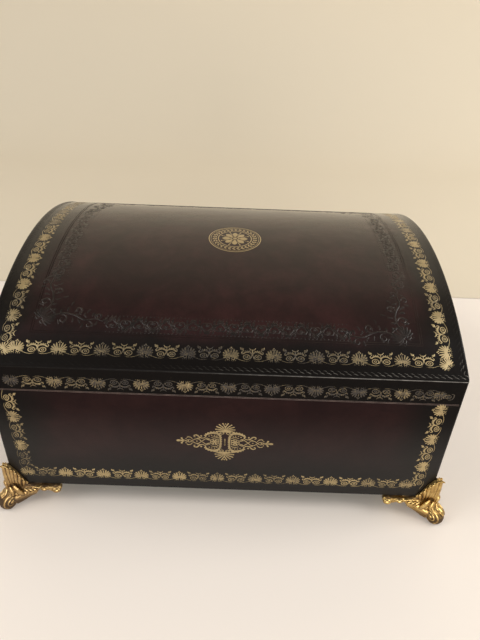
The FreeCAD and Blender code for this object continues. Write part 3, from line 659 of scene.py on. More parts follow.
@dataclass(frozen=True)
class BrassFinish:
    """Brass with brighter high spots and darker dirt in its hollows; on the feet the same dark also paints
    shade.
    """

    bright: Colour = (0.70, 0.50, 0.195)
    deep: Colour = (0.38, 0.235, 0.078)
    dirt_and_shade: Colour = (0.075, 0.042, 0.017)
    size_mm: float = 5.0
    roughness: float = 0.36

    def build(self, name: str) -> bpy.types.Material:
        """Makes the finish; the dirt, and the painted shade of the feet, follow the wear that the mesh
        carries.
        """
        shader = Shader(name)
        # the wear holds the depth of hollows, and on the feet painted shade too
        hollows_and_painted_shade = shader.wear()
        patches = shader.span(shader.noise(self.size_mm, 4, 0.6), 0.3, 0.72)
        patches = shader.math("MAXIMUM", patches, shader.span(hollows_and_painted_shade, 0.3, 0.62))
        colour = shader.mix(patches, self.bright, self.deep)
        depth = shader.math("MULTIPLY_ADD", shader.noise(1.6, 4, 0.7), 0.3, shader.math("ADD", hollows_and_painted_shade, -0.15))
        dirt_and_shade = shader.span(depth, 0.4, 0.88)
        colour = shader.mix(dirt_and_shade, colour, self.dirt_and_shade)
        rubbed = shader.span(hollows_and_painted_shade, 0.08, 0.36, -0.13, 0.0)
        shine = shader.math("MULTIPLY_ADD", shader.noise(3, 3), 0.14, self.roughness - 0.07)
        shine = shader.math("MULTIPLY_ADD", dirt_and_shade, 0.35, shader.math("ADD", rubbed, shine))
        metal = shader.math("MULTIPLY_ADD", dirt_and_shade, -0.5, 1.0)
        normal = shader.bump(shader.noise(0.9, 4), 0.05, 0.25)
        return shader.surface_of(Base_Color=colour, Metallic=metal, Roughness=shine, Normal=normal)


@dataclass(frozen=True)
class SilkFinish:
    """Deep red watered silk: a fine rib along X with wavering bands of sheen."""

    dark: Colour = (0.105, 0.011, 0.014)
    light: Colour = (0.27, 0.038, 0.042)

    def build(self, name: str) -> bpy.types.Material:
        """Makes the finish."""
        shader = Shader(name)
        bands = shader.node("ShaderNodeTexWave", wave_type="BANDS", bands_direction="DIAGONAL")
        shader.fill(bands, Vector=shader.place((0.25, 1, 1)), Scale=34.0, Distortion=16.0, Detail=3.0,
                    Detail_Scale=0.7)
        water = shader.span(bands.outputs["Fac"], 0.25, 0.8)
        colour = shader.mix(water, self.dark, self.light)
        ribs = shader.node("ShaderNodeTexWave", wave_type="BANDS", bands_direction="Y")
        shader.fill(ribs, Vector=shader.place(), Scale=620.0)
        weave = shader.math("ADD", ribs.outputs["Fac"], shader.noise(0.5, 3))
        shine = shader.math("MULTIPLY_ADD", water, -0.2, 0.52)
        return shader.surface_of(Base_Color=colour, Roughness=shine, Normal=shader.bump(weave, 0.08, 0.4),
                                 Sheen_Weight=0.35, Sheen_Roughness=0.4, Specular_IOR_Level=0.4)


@dataclass(frozen=True)
class BaizeFinish:
    """Green wool baize with a short matted nap."""

    dark: Colour = (0.012, 0.045, 0.021)
    light: Colour = (0.035, 0.1, 0.05)

    def build(self, name: str) -> bpy.types.Material:
        """Makes the finish."""
        shader = Shader(name)
        nap = shader.noise(0.9, 6, 0.8)
        colour = shader.mix(shader.span(nap, 0.3, 0.7), self.dark, self.light)
        return shader.surface_of(Base_Color=colour, Roughness=0.95, Normal=shader.bump(nap, 0.3, 0.6),
                                 Sheen_Weight=0.4)


@dataclass(frozen=True)
class PineFinish:
    """Planed softwood of the carcase, with its grain along X."""

    early: Colour = (0.46, 0.30, 0.155)
    late: Colour = (0.26, 0.145, 0.06)

    def build(self, name: str) -> bpy.types.Material:
        """Makes the finish."""
        shader = Shader(name)
        rings = shader.node("ShaderNodeTexWave", wave_type="RINGS", rings_direction="X")
        shader.fill(rings, Vector=shader.place((0.15, 1, 1)), Scale=70.0, Distortion=5.0)
        colour = shader.mix(rings.outputs["Fac"], self.early, self.late)
        pores = shader.noise(0.6, 4, 0.6, 0, (0.08, 1, 1))
        return shader.surface_of(Base_Color=colour, Roughness=0.62, Normal=shader.bump(pores, 0.1, 0.4))


class RollTool:
    """The engraved roll that prints the border: palmettes and paired scrolls on a waved line.

    Its inner side, towards the middle of the panel, is up.
    """

    PITCH = 29.34

    @staticmethod
    def palmette() -> Stamp:
        """A full fan of blunt rays with a trefoil on top, on two small curls."""
        stamp = Stamp()
        root = (0.0, -2.6)
        for angle, reach, width in ((21, 6.35, 1.5), (41, 6.45, 1.6), (60, 6.15, 1.6), (79, 5.65, 1.5),
                                    (99, 5.2, 1.35)):
            for sign in (-1, 1):
                tip = polar(root, reach, math.radians(90 + sign * angle))
                stamp.petal(root, tip, width, 0.05 * sign)
        stamp.petal(root, (0, 2.9), 1.1)
        for spot, radius in (((0, 4.5), 0.62), ((-0.75, 3.6), 0.6), ((0.75, 3.6), 0.6)):
            stamp.dot(spot, radius)
        stamp.stroke([(-3.6, -2.2), (0, -1.2), (3.6, -2.2)], [0.9, 1.9, 0.9], 0.1)
        for sign in (-1, 1):
            stamp.oval((sign * 1.75, -3.9), (1.0, 0.8), 0.7)
            for tooth in (0.8, 2.1, 3.3):
                stamp.stroke([(sign * tooth, -5.0), (sign * tooth * 1.1, -5.9)], [0.35, 0.45, 0.1], 0.08, 2)
        return stamp

    @staticmethod
    def scrolls() -> Stamp:
        """Two oval scrolls under beaded arches, with a stem, a crescent and a bud on each side."""
        stamp = Stamp()
        for sign in (-1, 1):
            arch = [(0, -0.7), (sign * 1.0, 0.75), (sign * 2.9, 1.45), (sign * 4.9, 1.1), (sign * 6.5, -0.1),
                    (sign * 7.3, 0.7), (sign * 6.8, 1.7)]
            stamp.stroke(arch, [0.7, 1.1, 1.4, 1.25, 0.95, 0.75, 0.4], 0.16)
            for spot in ((sign * 2.0, 2.0), (sign * 3.4, 2.25), (sign * 4.8, 2.05), (sign * 6.2, 2.3)):
                stamp.dot(spot, 0.46)
            stamp.oval((sign * 3.85, -2.5), (2.25, 1.75), 0.72)
            stamp.oval((sign * 3.85, -2.45), (0.85, 0.6), 0.6)
            stamp.stroke([(sign * 0.1, -0.7), (sign * 0.8, -2.5), (sign * 1.4, -4.0)], [0.6, 0.6, 0.25])
            stamp.stroke([(0, 2.9), (sign * 1.2, 3.1), (sign * 2.2, 4.3)], [0.7, 0.9, 0.3])
            stamp.petal((sign * 8.2, 4.9), (sign * 6.6, 3.2), 2.0, 0.2 * sign)
            stamp.dot((sign * 6.9, 3.5), 1.0)
            wave = [(1.2, -4.9), (3.2, -5.5), (6.2, -5.4), (9.0, -4.5), (11.4, -3.9)]
            stamp.stroke([(sign * x, y) for x, y in wave], [0.15, 0.42, 0.5, 0.45, 0.25], 0.08)
        stamp.stroke([(0, -1.0), (0, 1.0), (0, 3.1)], [0.9, 0.65, 0.8])
        return stamp

    @staticmethod
    def half_scroll() -> Stamp:
        """What is left where a run ends in the middle of a pair of scrolls."""
        stamp = Stamp()
        stamp.oval((0, 0), (2.1, 1.6), 0.65)
        stamp.oval((0, 0), (0.8, 0.5), 0.6)
        stamp.stroke([(0.6, -3.0), (3.2, -2.2), (4.0, 0.4), (3.4, 2.2), (1.8, 2.5)],
                     [0.3, 0.7, 0.9, 0.8, 0.3])
        return stamp


@dataclass(frozen=True)
class Run:
    """One straight run of the border roll along a panel.

    Its inner side lies to the left of its heading.
    """

    panel: Panel
    start: Spot
    heading: float
    length: float
    phase: float
    wear: float
    margin: float = 8.5
    pitch: float = RollTool.PITCH
    middle_wear: float = 0.0

    def spot(self, along: float) -> Spot:
        """The place on the panel at a distance along the run."""
        return polar(self.start, along, math.radians(self.heading))

    def wear_at(self, along: float) -> float:
        """How rubbed the run is at a distance along it: more in its middle than at its ends."""
        return self.wear + self.middle_wear * max(0.0, 1 - abs(2 * along / self.length - 1) ** 2)


class Gilder:
    """Lays stamps on panels and gathers them into one piece of gilding.

    Attributes:
        SLIP: Greatest chance turn of a stamp, in degrees.
        SPREAD: Greatest chance change of its wear.
        OVERSHOOT: How far past a run's ends a palmette may stand.
        CORNER_FREE: How far before its end a run on the vault stops, for the corner's palmette.
    """

    SLIP = 0.7
    SPREAD = 0.22
    OVERSHOOT = 1
    CORNER_FREE = 4

    def __init__(self, name: str, body: str, seed: int) -> None:
        """Starts a piece of gilding; the seed fixes how its wear varies."""
        self.piece = Piece(name, body)
        self.chance = random.Random(seed)

    def lay(self, panel: Panel, stamp: Stamp, spot: Spot, turn_deg: float = 0, size: float = 1,
            wear: float = 0.3) -> None:
        """Prints a stamp on a panel.

        Args:
            panel: Where it goes.
            stamp: What is printed.
            spot: The place of its middle.
            turn_deg: Its turn, anticlockwise.
            size: Its scale.
            wear: How rubbed it is, from 0 to 1, before it varies by chance.
        """
        slip = self.chance.uniform(-self.SLIP, self.SLIP)
        copy = Stamp().add(stamp, *spot, turn_deg + slip, size)
        worn = min(1, max(0, wear + self.chance.uniform(-self.SPREAD, self.SPREAD)))
        self.piece.gather(panel.lay(copy.spots), copy.faces, worn)

    def run(self, run: Run) -> None:
        """Prints the roll along a run."""
        palmette, scrolls = RollTool.palmette(), RollTool.scrolls()
        along = run.phase - run.pitch
        last = run.length + (-self.CORNER_FREE if run.panel is VAULT else self.OVERSHOOT)
        while along < run.length + run.pitch:
            if -self.OVERSHOOT <= along <= last:
                self.lay(run.panel, palmette, run.spot(along), run.heading, wear=run.wear_at(along))
            middle = along + run.pitch / 2
            if run.margin <= middle <= run.length - run.margin:
                self.lay(run.panel, scrolls, run.spot(middle), run.heading, wear=run.wear_at(middle))
            along += run.pitch


@dataclass
class BorderGilding:
    """The gilt borders of the lid and the base, with the places where the roll starts."""

    inset: float = 15.1
    band_up: float = 7.3
    base_up: float = 14.4
    side_inset: float = 15.0
    front_phase: float = 36.0
    right_phase: float = 6.4
    left_phase: float = 16.5
    band_phase: float = 27.2
    band_pitch: float = 29.81
    base_phase: float = 28.4
    base_right_phase: float = 19.7
    base_left_phase: float = 24.6
    base_wear: float = 0.42
    back_lift: float = 5.4
    top_gap: float = 1.5
    back_top_gap: float = 7.5
    corner_out: float = 1.6

    def lid_top(self) -> Gilder:
        """The border round the vault, with a palmette across each corner."""
        gilder = Gilder("lid_gilt_border", "lid", 11)
        reach = SIZES.half_width - self.side_inset
        far = SIZES.arc_length - self.inset
        span = far - self.inset
        for start, heading, length, phase, wear, middle_wear in (
            ((-reach, self.inset), 0, 2 * reach, self.front_phase, 0.0, 0.86),
            ((reach, self.inset), 90, span, self.right_phase, 0.24, 0.15),
            ((reach, far), 180, 2 * reach, self.front_phase, 0.3, 0.2),
            ((-reach, far), 270, span, self.left_phase, 0.34, 0.15),
        ):
            gilder.run(Run(VAULT, start, heading, length, phase, wear, middle_wear=middle_wear))
            out = self.corner_out if start[1] < far / 2 else -self.corner_out
            spot = (start[0], start[1] - out)
            gilder.lay(VAULT, RollTool.palmette(), spot, heading - 45, 0.9, wear)
        return gilder

    def lid_band(self) -> Gilder:
        """The roll round the lid's upright band, printed with its waved line uppermost."""
        gilder = Gilder("lid_band_gilt", "lid", 12)
        for side, wear in zip(Side, (0.84, 0.6, 0.55, 0.55)):
            panel = FlatPanel(side, SIZES.arris - SIZES.band)
            reach = side.half - self.side_inset - 1
            lift = self.band_up + (self.back_lift if side is Side.BACK else 0)
            gilder.run(Run(panel, (reach, lift), 180, 2 * reach, self.band_phase, wear, 4.0, self.band_pitch))
            gilder.lay(panel, RollTool.palmette(), (reach - 1.4, lift), 180, 0.8, wear)
            gilder.lay(panel, RollTool.half_scroll(), (reach + 4.4, lift), 0, wear=wear)
        return gilder

    def base(self) -> Gilder:
        """The border on both sides and along the foot of each of the base's panels."""
        gilder = Gilder("base_gilt_border", "base", 13)
        top = SIZES.seam - SIZES.foot
        wear = self.base_wear
        for side in Side:
            panel = FlatPanel(side, SIZES.foot)
            reach = side.half - self.side_inset
            rise = top - self.base_up - (self.back_top_gap if side is Side.BACK else self.top_gap)
            for start, heading, length, phase, worn, margin in (
                ((-reach, self.base_up), 0, 2 * reach, self.base_phase, wear, Run.margin),
                ((reach, self.base_up), 90, rise, self.base_right_phase, wear - 0.05, 4.5),
                ((-reach, self.base_up + rise), 270, rise, self.base_left_phase, wear + 0.1, 9.5),
            ):
                gilder.run(Run(panel, start, heading, length, phase, worn, margin))
        return gilder

    def build(self, gilt: bpy.types.Material, waxed: bpy.types.Material) -> None:
        """Prints every border, the vault's in waxed gold."""
        self.lid_top().piece.finish(waxed, "leather")
        for gilder in (self.lid_band(), self.base()):
            gilder.piece.finish(gilt, "leather")


@dataclass
class FrontOrnament:
    """The gilt ornament in the middle of the front: beaded scrolls between two palmettes."""

    centre: Spot = (1.0, 53.2)
    fan_rise: float = 13.6

    @staticmethod
    def fan() -> Stamp:
        """The round palmette above and below: close rays round a slit, each with a round tip."""
        stamp = Stamp()
        root = (0.0, -3.4)
        for angle, reach, width in ((12, 9.0, 1.15), (30, 8.8, 1.3), (48, 8.3, 1.35), (67, 7.4, 1.35),
                                    (86, 6.4, 1.3)):
            for sign in (-1, 1):
                tip = polar(root, reach, math.radians(90 + sign * angle))
                stamp.petal((0, root[1] + 1.0), tip, width, -0.1 * sign)
                stamp.dot(tip, 0.72)
        stamp.dot((0, 5.2), 0.7)
        stamp.stroke([(-4.4, -3.0), (0, -2.4), (4.4, -3.0)], [1.0, 2.4, 1.0], 0.12)
        for sign in (-1, 1):
            stamp.oval((sign * 2.2, -4.2), (1.3, 1.0), 0.7)
        return stamp

    @staticmethod
    def beaded_scroll() -> Stamp:
        """A thick beaded C that opens outward, with a small flower in it."""
        stamp = Stamp()
        upper = [(14.4, 4.3), (14.0, 6.6), (11.8, 8.4), (8.6, 9.3), (5.4, 8.6), (3.7, 6.2), (3.3, 3.0)]
        bow = [*upper, (3.2, 0), *((x, -y) for x, y in upper[::-1])]
        stamp.stroke(bow, [0.6, 1.5, 2.3, 2.5, 2.0, 1.6, 1.5, 1.6, 2.0, 2.5, 2.3, 1.5, 0.6], 0.16)
        line = curve_through(bow, 8)
        for first, count, wide, tall, radius, relief in ((0.05, 21, 1.09, 1.1, 0.75, 0.24),
                                                         (0.12, 13, 0.72, 0.74, 0.6, 0.18)):
            for share in np.linspace(first, 1 - first, count):
                spot = line[int(share * (len(line) - 1))]
                stamp.dot((8.8 + (spot[0] - 8.8) * wide, spot[1] * tall), radius, relief)
        for turn in np.radians(np.arange(0, 360, 60)):
            stamp.petal((7.6, 0), (7.6 + 2.5 * math.cos(turn), 2.7 * math.sin(turn)), 1.6)
        stamp.oval((7.6, 0), (3.0, 3.2), 0.6)
        for sign in (-1, 1):
            stamp.stroke([(5.0, sign * 4.2), (7.6, sign * 5.2), (10.4, sign * 4.2)], [0.5, 0.9, 0.4])
            stamp.petal((10.6, sign * 1.2), (13.6, sign * 2.6), 1.3)
            stamp.petal((0, sign * -0.4), (0, sign * 3.6), 1.5)
        return stamp

    @staticmethod
    def interlace() -> Stamp:
        """Strands that cross in lozenges, with hooks, and a lily at the tip."""
        stamp = Stamp()
        for sign in (-1, 1):
            strands = (
                (((10.6, 2.2), (13.0, 3.5), (15.2, 1.8), (17.2, 0), (19.4, -2.2), (22.0, -2.0), (24.2, 0),
                  (26.0, 1.3), (28.2, 0.6), (29.6, -0.5), (31.4, -1.0)),
                 (0.6, 0.8, 0.8, 0.75, 0.75, 0.7, 0.65, 0.6, 0.6)),
                (((13.6, 5.0), (16.2, 3.4), (18.6, 4.2), (20.4, 6.2), (22.4, 6.0), (22.6, 4.6), (21.5, 4.3)),
                 (0.8, 0.9, 1.2, 1.4, 1.2, 0.8, 0.6)),
                (((23.6, 1.6), (25.2, 3.7), (27.4, 4.0), (27.9, 2.9)), (0.5, 1.0, 0.9, 0.5)),
            )
            for points, widths in strands:
                stamp.stroke([(x, sign * y) for x, y in points], widths)
            stamp.dot((17.4, sign * 5.6), 0.9)
            stamp.petal((17.6, sign * 3.4), (20.8, sign * 2.9), 1.0)
            stamp.dot((28.6, sign * 2.2), 0.6)
            stamp.petal((30.6, sign * 0.8), (32.0, sign * 3.2), 1.9, -0.1 * sign)
        stamp.petal((30.2, 0), (35.6, 0), 2.6)
        for spot in ((20.6, 0), (26.9, 0)):
            stamp.dot(spot, 0.65)
        return stamp

    def build(self, gilt: bpy.types.Material) -> None:
        """Prints the ornament on the front of the base."""
        whole = Stamp()
        for mirror in (False, True):
            whole.add(self.beaded_scroll(), mirror=mirror)
            whole.add(self.interlace(), mirror=mirror)
        fan = self.fan()
        for rise, turn in ((self.fan_rise, 0), (-self.fan_rise, 180)):
            whole.add(fan, 0, rise, turn)
        gilder = Gilder("front_ornament", "base", 21)
        gilder.lay(FlatPanel(Side.FRONT, SIZES.foot), whole, self.centre, wear=0.3)
        gilder.piece.finish(gilt, "leather")


@dataclass
class LidMedallion:
    """A round gilt rosette in a wreath at the top of the vault."""

    radius: float = 21.2
    inner: float = 13.6
    leaves: int = 30
    petals: int = 8
    shift: Spot = (2.5, -0.8)

    def stamp(self) -> Stamp:
        """The wreath between two rings, and the rosette."""
        stamp = Stamp()
        for radius, width in ((self.radius, 0.8), (self.radius - 1.5, 0.4), (self.inner, 0.8)):
            stamp.stroke(spiral((0, 0), (radius, radius), (0, 360), 73), [width, width], steps=1)
        middle = (self.radius - 1.5 + self.inner) / 2
        for index in range(self.leaves):
            turn = math.radians(360 / self.leaves * index)
            for shift in (-1.7, 1.7):
                stamp.leaf(polar((0, 0), middle, turn), polar((0, 0), middle + shift, turn + 0.17), 1.35)
        for index in range(self.petals):
            turn = math.radians(360 / self.petals * index)
            between = turn + math.pi / self.petals
            stamp.leaf(polar((0, 0), 2.6, turn), polar((0, 0), 10.4, turn), 4.4)
            stamp.stroke([polar((0, 0), 5.5, between), polar((0, 0), 11.2, between)], [0.4, 0.7, 0.5])
            stamp.dot(polar((0, 0), 11.6, between), 0.75)
        stamp.stroke(spiral((0, 0), (2.9, 2.9), (0, 360), 25), [0.6, 0.6], steps=1)
        stamp.dot((0, 0), 1.7, 0.25)
        return stamp

    def build(self, gilt: bpy.types.Material) -> None:
        """Prints the medallion on the vault."""
        gilder = Gilder("lid_medallion", "lid", 31)
        gilder.lay(VAULT, self.stamp(), (self.shift[0], SIZES.arc_length / 2 + self.shift[1]), wear=0.35)
        gilder.piece.finish(gilt, "leather")


@dataclass
class BlindTooling:
    """Ungilt tooling: a leafy roll inside the lid's border, its corner sprays and its fillets."""

    fillet_in: float = 26.0
    fillet_gap: float = 1.5
    side_fillet_in: float = 28.5
    roll_in: float = 35.0
    pitch: float = 19.5
    swing: float = 3.3
    corner: float = 42.0
    spray_back: float = 6.0

    def vine(self) -> Stamp:
        """One wave of the leafy roll."""
        stamp = Stamp()
        half = self.pitch / 2
        stamp.stroke([(-half, 0), (-half / 2, self.swing), (0, 0), (half / 2, -self.swing), (half, 0)],
                     [0.7, 0.9, 0.7, 0.9, 0.7], 0.2)
        for sign in (-1, 1):
            root = (sign * -half / 2, sign * self.swing)
            curl = (root[0] + 1.2, root[1] - sign * 4.4)
            line = spiral(curl, (3.1, 0.7), (sign * 100, sign * -290), 16)
            stamp.stroke(line, [0.7, 1.1, 0.9, 0.5], 0.2, 1)
            stamp.dot(curl, 0.8, 0.2)
            for step, lean, reach in ((-4.6, 75, 2.8), (-2.6, 60, 3.5), (-0.6, 95, 3.0), (1.6, 125, 3.5),
                                      (3.6, 60, 2.6), (5.0, 110, 2.4), (-3.6, -100, 2.6), (4.4, -80, 3.2)):
                start = (root[0] + step, root[1] - sign * 0.3)
                stamp.leaf(start, polar(start, reach, sign * math.radians(lean)), 1.6)
        for step in np.arange(-half + 1.4, half, 2.75):
            stamp.dot((step, 6.7), 0.5, 0.2)
        return stamp

    def spray(self) -> Stamp:
        """The leafy spray that fills a corner of the lid's field."""
        stamp = Stamp()
        stamp.add(RollTool.palmette(), 6, 6, -45, 1.5)
        for mirror in (False, True):
            arm = Stamp()
            arm.stroke([(8, 3), (16, 7.5), (25, 6.5), (33, 2.5), (41, 3.5), (46, 1.5)],
                       [1.2, 1.6, 1.3, 1.2, 0.9, 0.4], 0.22)
            for centre, radius, sign in (((17.5, 2.6), 3.8, 1), ((27.5, 10.4), 3.6, -1),
                                         ((36.5, -1.4), 2.8, 1), ((42.5, 6.2), 2.3, -1)):
                curl = spiral(centre, (radius, 0.8), (sign * 110, sign * -270), 16)
                arm.stroke(curl, [0.8, 1.3, 0.9, 0.5], 0.2, 1)
            for x, y, lean in ((12, 7, 120), (20, 9, 80), (30, 6.5, 100), (38, 5, 70), (14, 2, -70),
                               (24, 4, -80), (32, 0, -100), (45, 2, 10), (34, 8, 60), (22, 14, 75),
                               (16, 7, 95), (25, 8, 60), (34, 4.5, 110), (41, 4, 95), (19, 3, -100),
                               (28, 3, -60), (38, 1, -75), (42, 2, -110)):
                turn = math.radians(lean)
                arm.leaf((x, y), (x + 4.6 * math.cos(turn), y + 4.2 * math.sin(turn)), 1.9, 0.12)
            if mirror:
                turned = Stamp()
                turned.spots = arm.spots[:, [1, 0, 2]]
                turned.faces = [face[::-1] for face in arm.faces]
                arm = turned
            stamp.add(arm)
        return stamp

    def build(self, blind: bpy.types.Material, fillet: bpy.types.Material) -> None:
        """Prints the tooling on the vault."""
        gilder = Gilder("lid_blind_tooling", "lid", 41)
        far = SIZES.arc_length
        lines = Stamp()
        for gap in (0, self.fillet_gap):
            x = SIZES.half_width - self.side_fillet_in - gap
            low, high = self.fillet_in + gap, far - self.fillet_in - gap
            corners = [(-x, low), (x, low), (x, high), (-x, high), (-x, low)]
            for start, end in zip(corners, corners[1:]):
                lines.stroke([start, end], [0.45, 0.45], 0.14, 48)
        fillets = Piece("lid_fillets", "lid")
        fillets.gather(VAULT.lay(lines.spots), lines.faces)
        fillets.finish(fillet, "leather")
        reach = SIZES.half_width - self.side_fillet_in - (self.roll_in - self.fillet_in)
        vine = self.vine()
        for start, heading, length in (
            ((-reach, self.roll_in), 0, 2 * reach),
            ((reach, self.roll_in), 90, far - 2 * self.roll_in),
            ((reach, far - self.roll_in), 180, 2 * reach),
            ((-reach, far - self.roll_in), 270, far - 2 * self.roll_in),
        ):
            run = Run(VAULT, start, heading, length, 0, 0)
            free = length - 2 * self.corner
            count = round(free / self.pitch)
            for index in range(count):
                spot = run.spot(self.corner + free * (index + 0.5) / count)
                for turn in (heading, heading + 180):
                    gilder.lay(VAULT, vine, spot, turn)
            gilder.lay(VAULT, self.spray(), run.spot(-self.spray_back), heading)
        gilder.piece.finish(blind, "leather")


@dataclass
class RopeRoll:
    """The small rope-like roll along the lid's edges, in two rows of short curved strokes.

    Attributes:
        pitch: Length of one strand.
        edge_gap: How far the roll keeps from the vault's ends.
        end_gap: How far it keeps from the front and back along them.
        rows: Distance in from the edge, width, slant in degrees and shift of each row.
    """

    pitch: float = 4.55
    edge_gap: float = 0.6
    end_gap: float = 4.0
    rows: tuple[tuple[float, float, float, float], ...] = ((3.9, 0.32, -24, 0.5), (2.2, 0.42, -20, 0.0))

    def strand(self, stamp: Stamp, start: Spot, heading: float, length: float) -> None:
        """Adds both rows of strokes along a line."""
        lean = math.radians(heading)
        ahead = np.array([math.cos(lean), math.sin(lean)])
        across = np.array([-math.sin(lean), math.cos(lean)])
        for inset, width, slant, shift in self.rows:
            for index in range(int(length / self.pitch)):
                middle = np.array(start) + ahead * (index + 0.5 + shift) * self.pitch + across * inset
                tilt = math.radians(slant)
                reach = (ahead * math.cos(tilt) + across * math.sin(tilt)) * self.pitch * 0.38
                dip = across * -0.35 * math.copysign(1, slant)
                stamp.stroke([tuple(middle - reach), tuple(middle + dip), tuple(middle + reach)],
                             [width * 0.4, width * 1.2, width * 1.5, width * 0.5], 0.14, 3)

    def build(self, rope: bpy.types.Material) -> None:
        """Prints the roll along the four edges of the vault."""
        stamp = Stamp()
        far, reach, gap = SIZES.arc_length, SIZES.half_width - self.edge_gap, self.end_gap
        side = far - 2 * gap
        for start, heading, length in (((-reach, 0), 0, 2 * reach), ((reach, far), 180, 2 * reach),
                                       ((reach, gap), 90, side), ((-reach, far - gap), 270, side)):
            self.strand(stamp, start, heading, length)
        piece = Piece("lid_rope_roll", "lid")
        piece.gather(VAULT.lay(stamp.spots), stamp.faces)
        piece.finish(rope, "leather")


@dataclass
class EdgeBeads:
    """The rubbed edges of the leather at the arris and the seam, as fine beads in pale finishes: worn leather
    and painted highlight.
    """

    inset: float = 2.2

    def line(self, name: str, body: str, height: float, lift: float, width: float,
             material: bpy.types.Material) -> None:
        """Makes a fine bead along the front, and along the ends where it isn't at the arris."""
        piece = Piece(name, body)
        for side in (Side.FRONT, Side.RIGHT, Side.LEFT):
            if side is not Side.FRONT and "arris" in name:
                continue
            across = SIZES.half_width if side is Side.FRONT else SIZES.half_depth - 3
            reach = across - (self.inset if "rim" in name else 0.6)
            stamp = Stamp().stroke([(-reach, lift), (reach, lift)], [width, width], 0.2, 24)
            piece.gather(FlatPanel(side, height).lay(stamp.spots), stamp.faces)
        piece.finish(material, "leather")

    def build(self, arris: bpy.types.Material, rim: bpy.types.Material) -> None:
        """Makes the beads of the arris and of both sides of the seam."""
        self.line("lid_arris_bead", "lid", SIZES.arris - 1.0, 0.35, 0.6, arris)
        self.line("lid_rim_bead", "lid", SIZES.lid_bottom, 0.3, 0.35, rim)
        self.line("base_rim_bead", "base", SIZES.seam, -0.3, 0.4, rim)


@dataclass
class VaultLeather:
    """The sheet of leather over the vault, drawn down at its edges into a soft arris."""

    edge_round: float = 1.1
    waver: float = 0.1
    calm_in: float = 25.0
    sway_scale: float = 0.03
    sway_seed: float = 3.7
    crease: float = 50.0

    @staticmethod
    def steps(half: float, spacing: float) -> np.ndarray:
        """Distances from the middle to one edge, close together at the edge."""
        near = half - np.array([2.0, 1.5, 1.1, 0.75, 0.45, 0.22, 0.08, 0.0])
        inner = np.linspace(0, half - 2.6, int(half / spacing))
        return np.concatenate([-near[::-1], -inner[::-1][:-1], inner, near])

    @staticmethod
    def drop(distance: np.ndarray, radius: float) -> np.ndarray:
        """How far a round edge of a radius falls at a distance from it."""
        within = np.clip(radius - distance, 0, radius)
        return radius - np.sqrt(np.maximum(radius**2 - within**2, 0))

    @staticmethod
    def faces(rows: int, cols: int) -> list[Face]:
        """The faces of a closed sheet: its top, its underside and its four edges."""
        faces = []
        base = rows * cols
        for i in range(rows - 1):
            for j in range(cols - 1):
                a, b, c, d = i * cols + j, (i + 1) * cols + j, (i + 1) * cols + j + 1, i * cols + j + 1
                faces += [(a, b, c, d), (base + d, base + c, base + b, base + a)]
        ends = [(i * cols + j, (i + 1) * cols + j, flip)
                for i in range(rows - 1) for j, flip in ((0, False), (cols - 1, True))]
        ends += [(i * cols + j, i * cols + j + 1, flip)
                 for j in range(cols - 1) for i, flip in ((0, True), (rows - 1, False))]
        for a, b, flip in ends:
            face = (a, base + a, base + b, b)
            faces.append(face[::-1] if flip else face)
        return faces

    def build(self, leather: bpy.types.Material) -> None:
        """Makes the sheet, which stands for the vault leather of the frame."""
        xs = self.steps(SIZES.half_width, 5.0)
        shares = self.steps(SIZES.half_depth, 4.0) / SIZES.half_depth
        tops, bottoms = [], []
        inner = SIZES.vault_radius - SIZES.leather
        for x in xs:
            end_gap = SIZES.half_width - abs(x)
            reach = SIZES.half_depth - float(self.drop(np.array(end_gap), SIZES.corner_round))
            y = shares * reach
            outer = SIZES.vault_centre + np.sqrt(SIZES.vault_radius**2 - y**2)
            outer -= self.drop(reach - np.abs(y), self.edge_round)
            outer -= float(self.drop(np.array(end_gap), self.edge_round))
            under = SIZES.vault_centre + np.sqrt(inner**2 - y**2)
            edge = np.minimum(end_gap, reach - np.abs(y))
            calm = np.minimum(1, edge / self.calm_in)
            scale = self.sway_scale
            sway = [soft_noise.noise(Vector((x * scale, v * scale, self.sway_seed))) for v in y]
            outer += np.array(sway) * calm * self.waver - calm * self.waver * 0.5
            outer -= VAULT.sunk(edge)
            tops.append(np.column_stack([np.full(len(y), x), y, np.maximum(outer, under + 0.05)]))
            bottoms.append(np.column_stack([np.full(len(y), x), y, under]))
        piece = Piece("vault_leather", "lid")
        piece.gather(np.vstack(tops + bottoms), self.faces(len(xs), len(shares)))
        made = piece.finish(leather, "leather")
        made.data.set_sharp_from_angle(angle=math.radians(self.crease))
        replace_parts(made, "lid_top_leather")


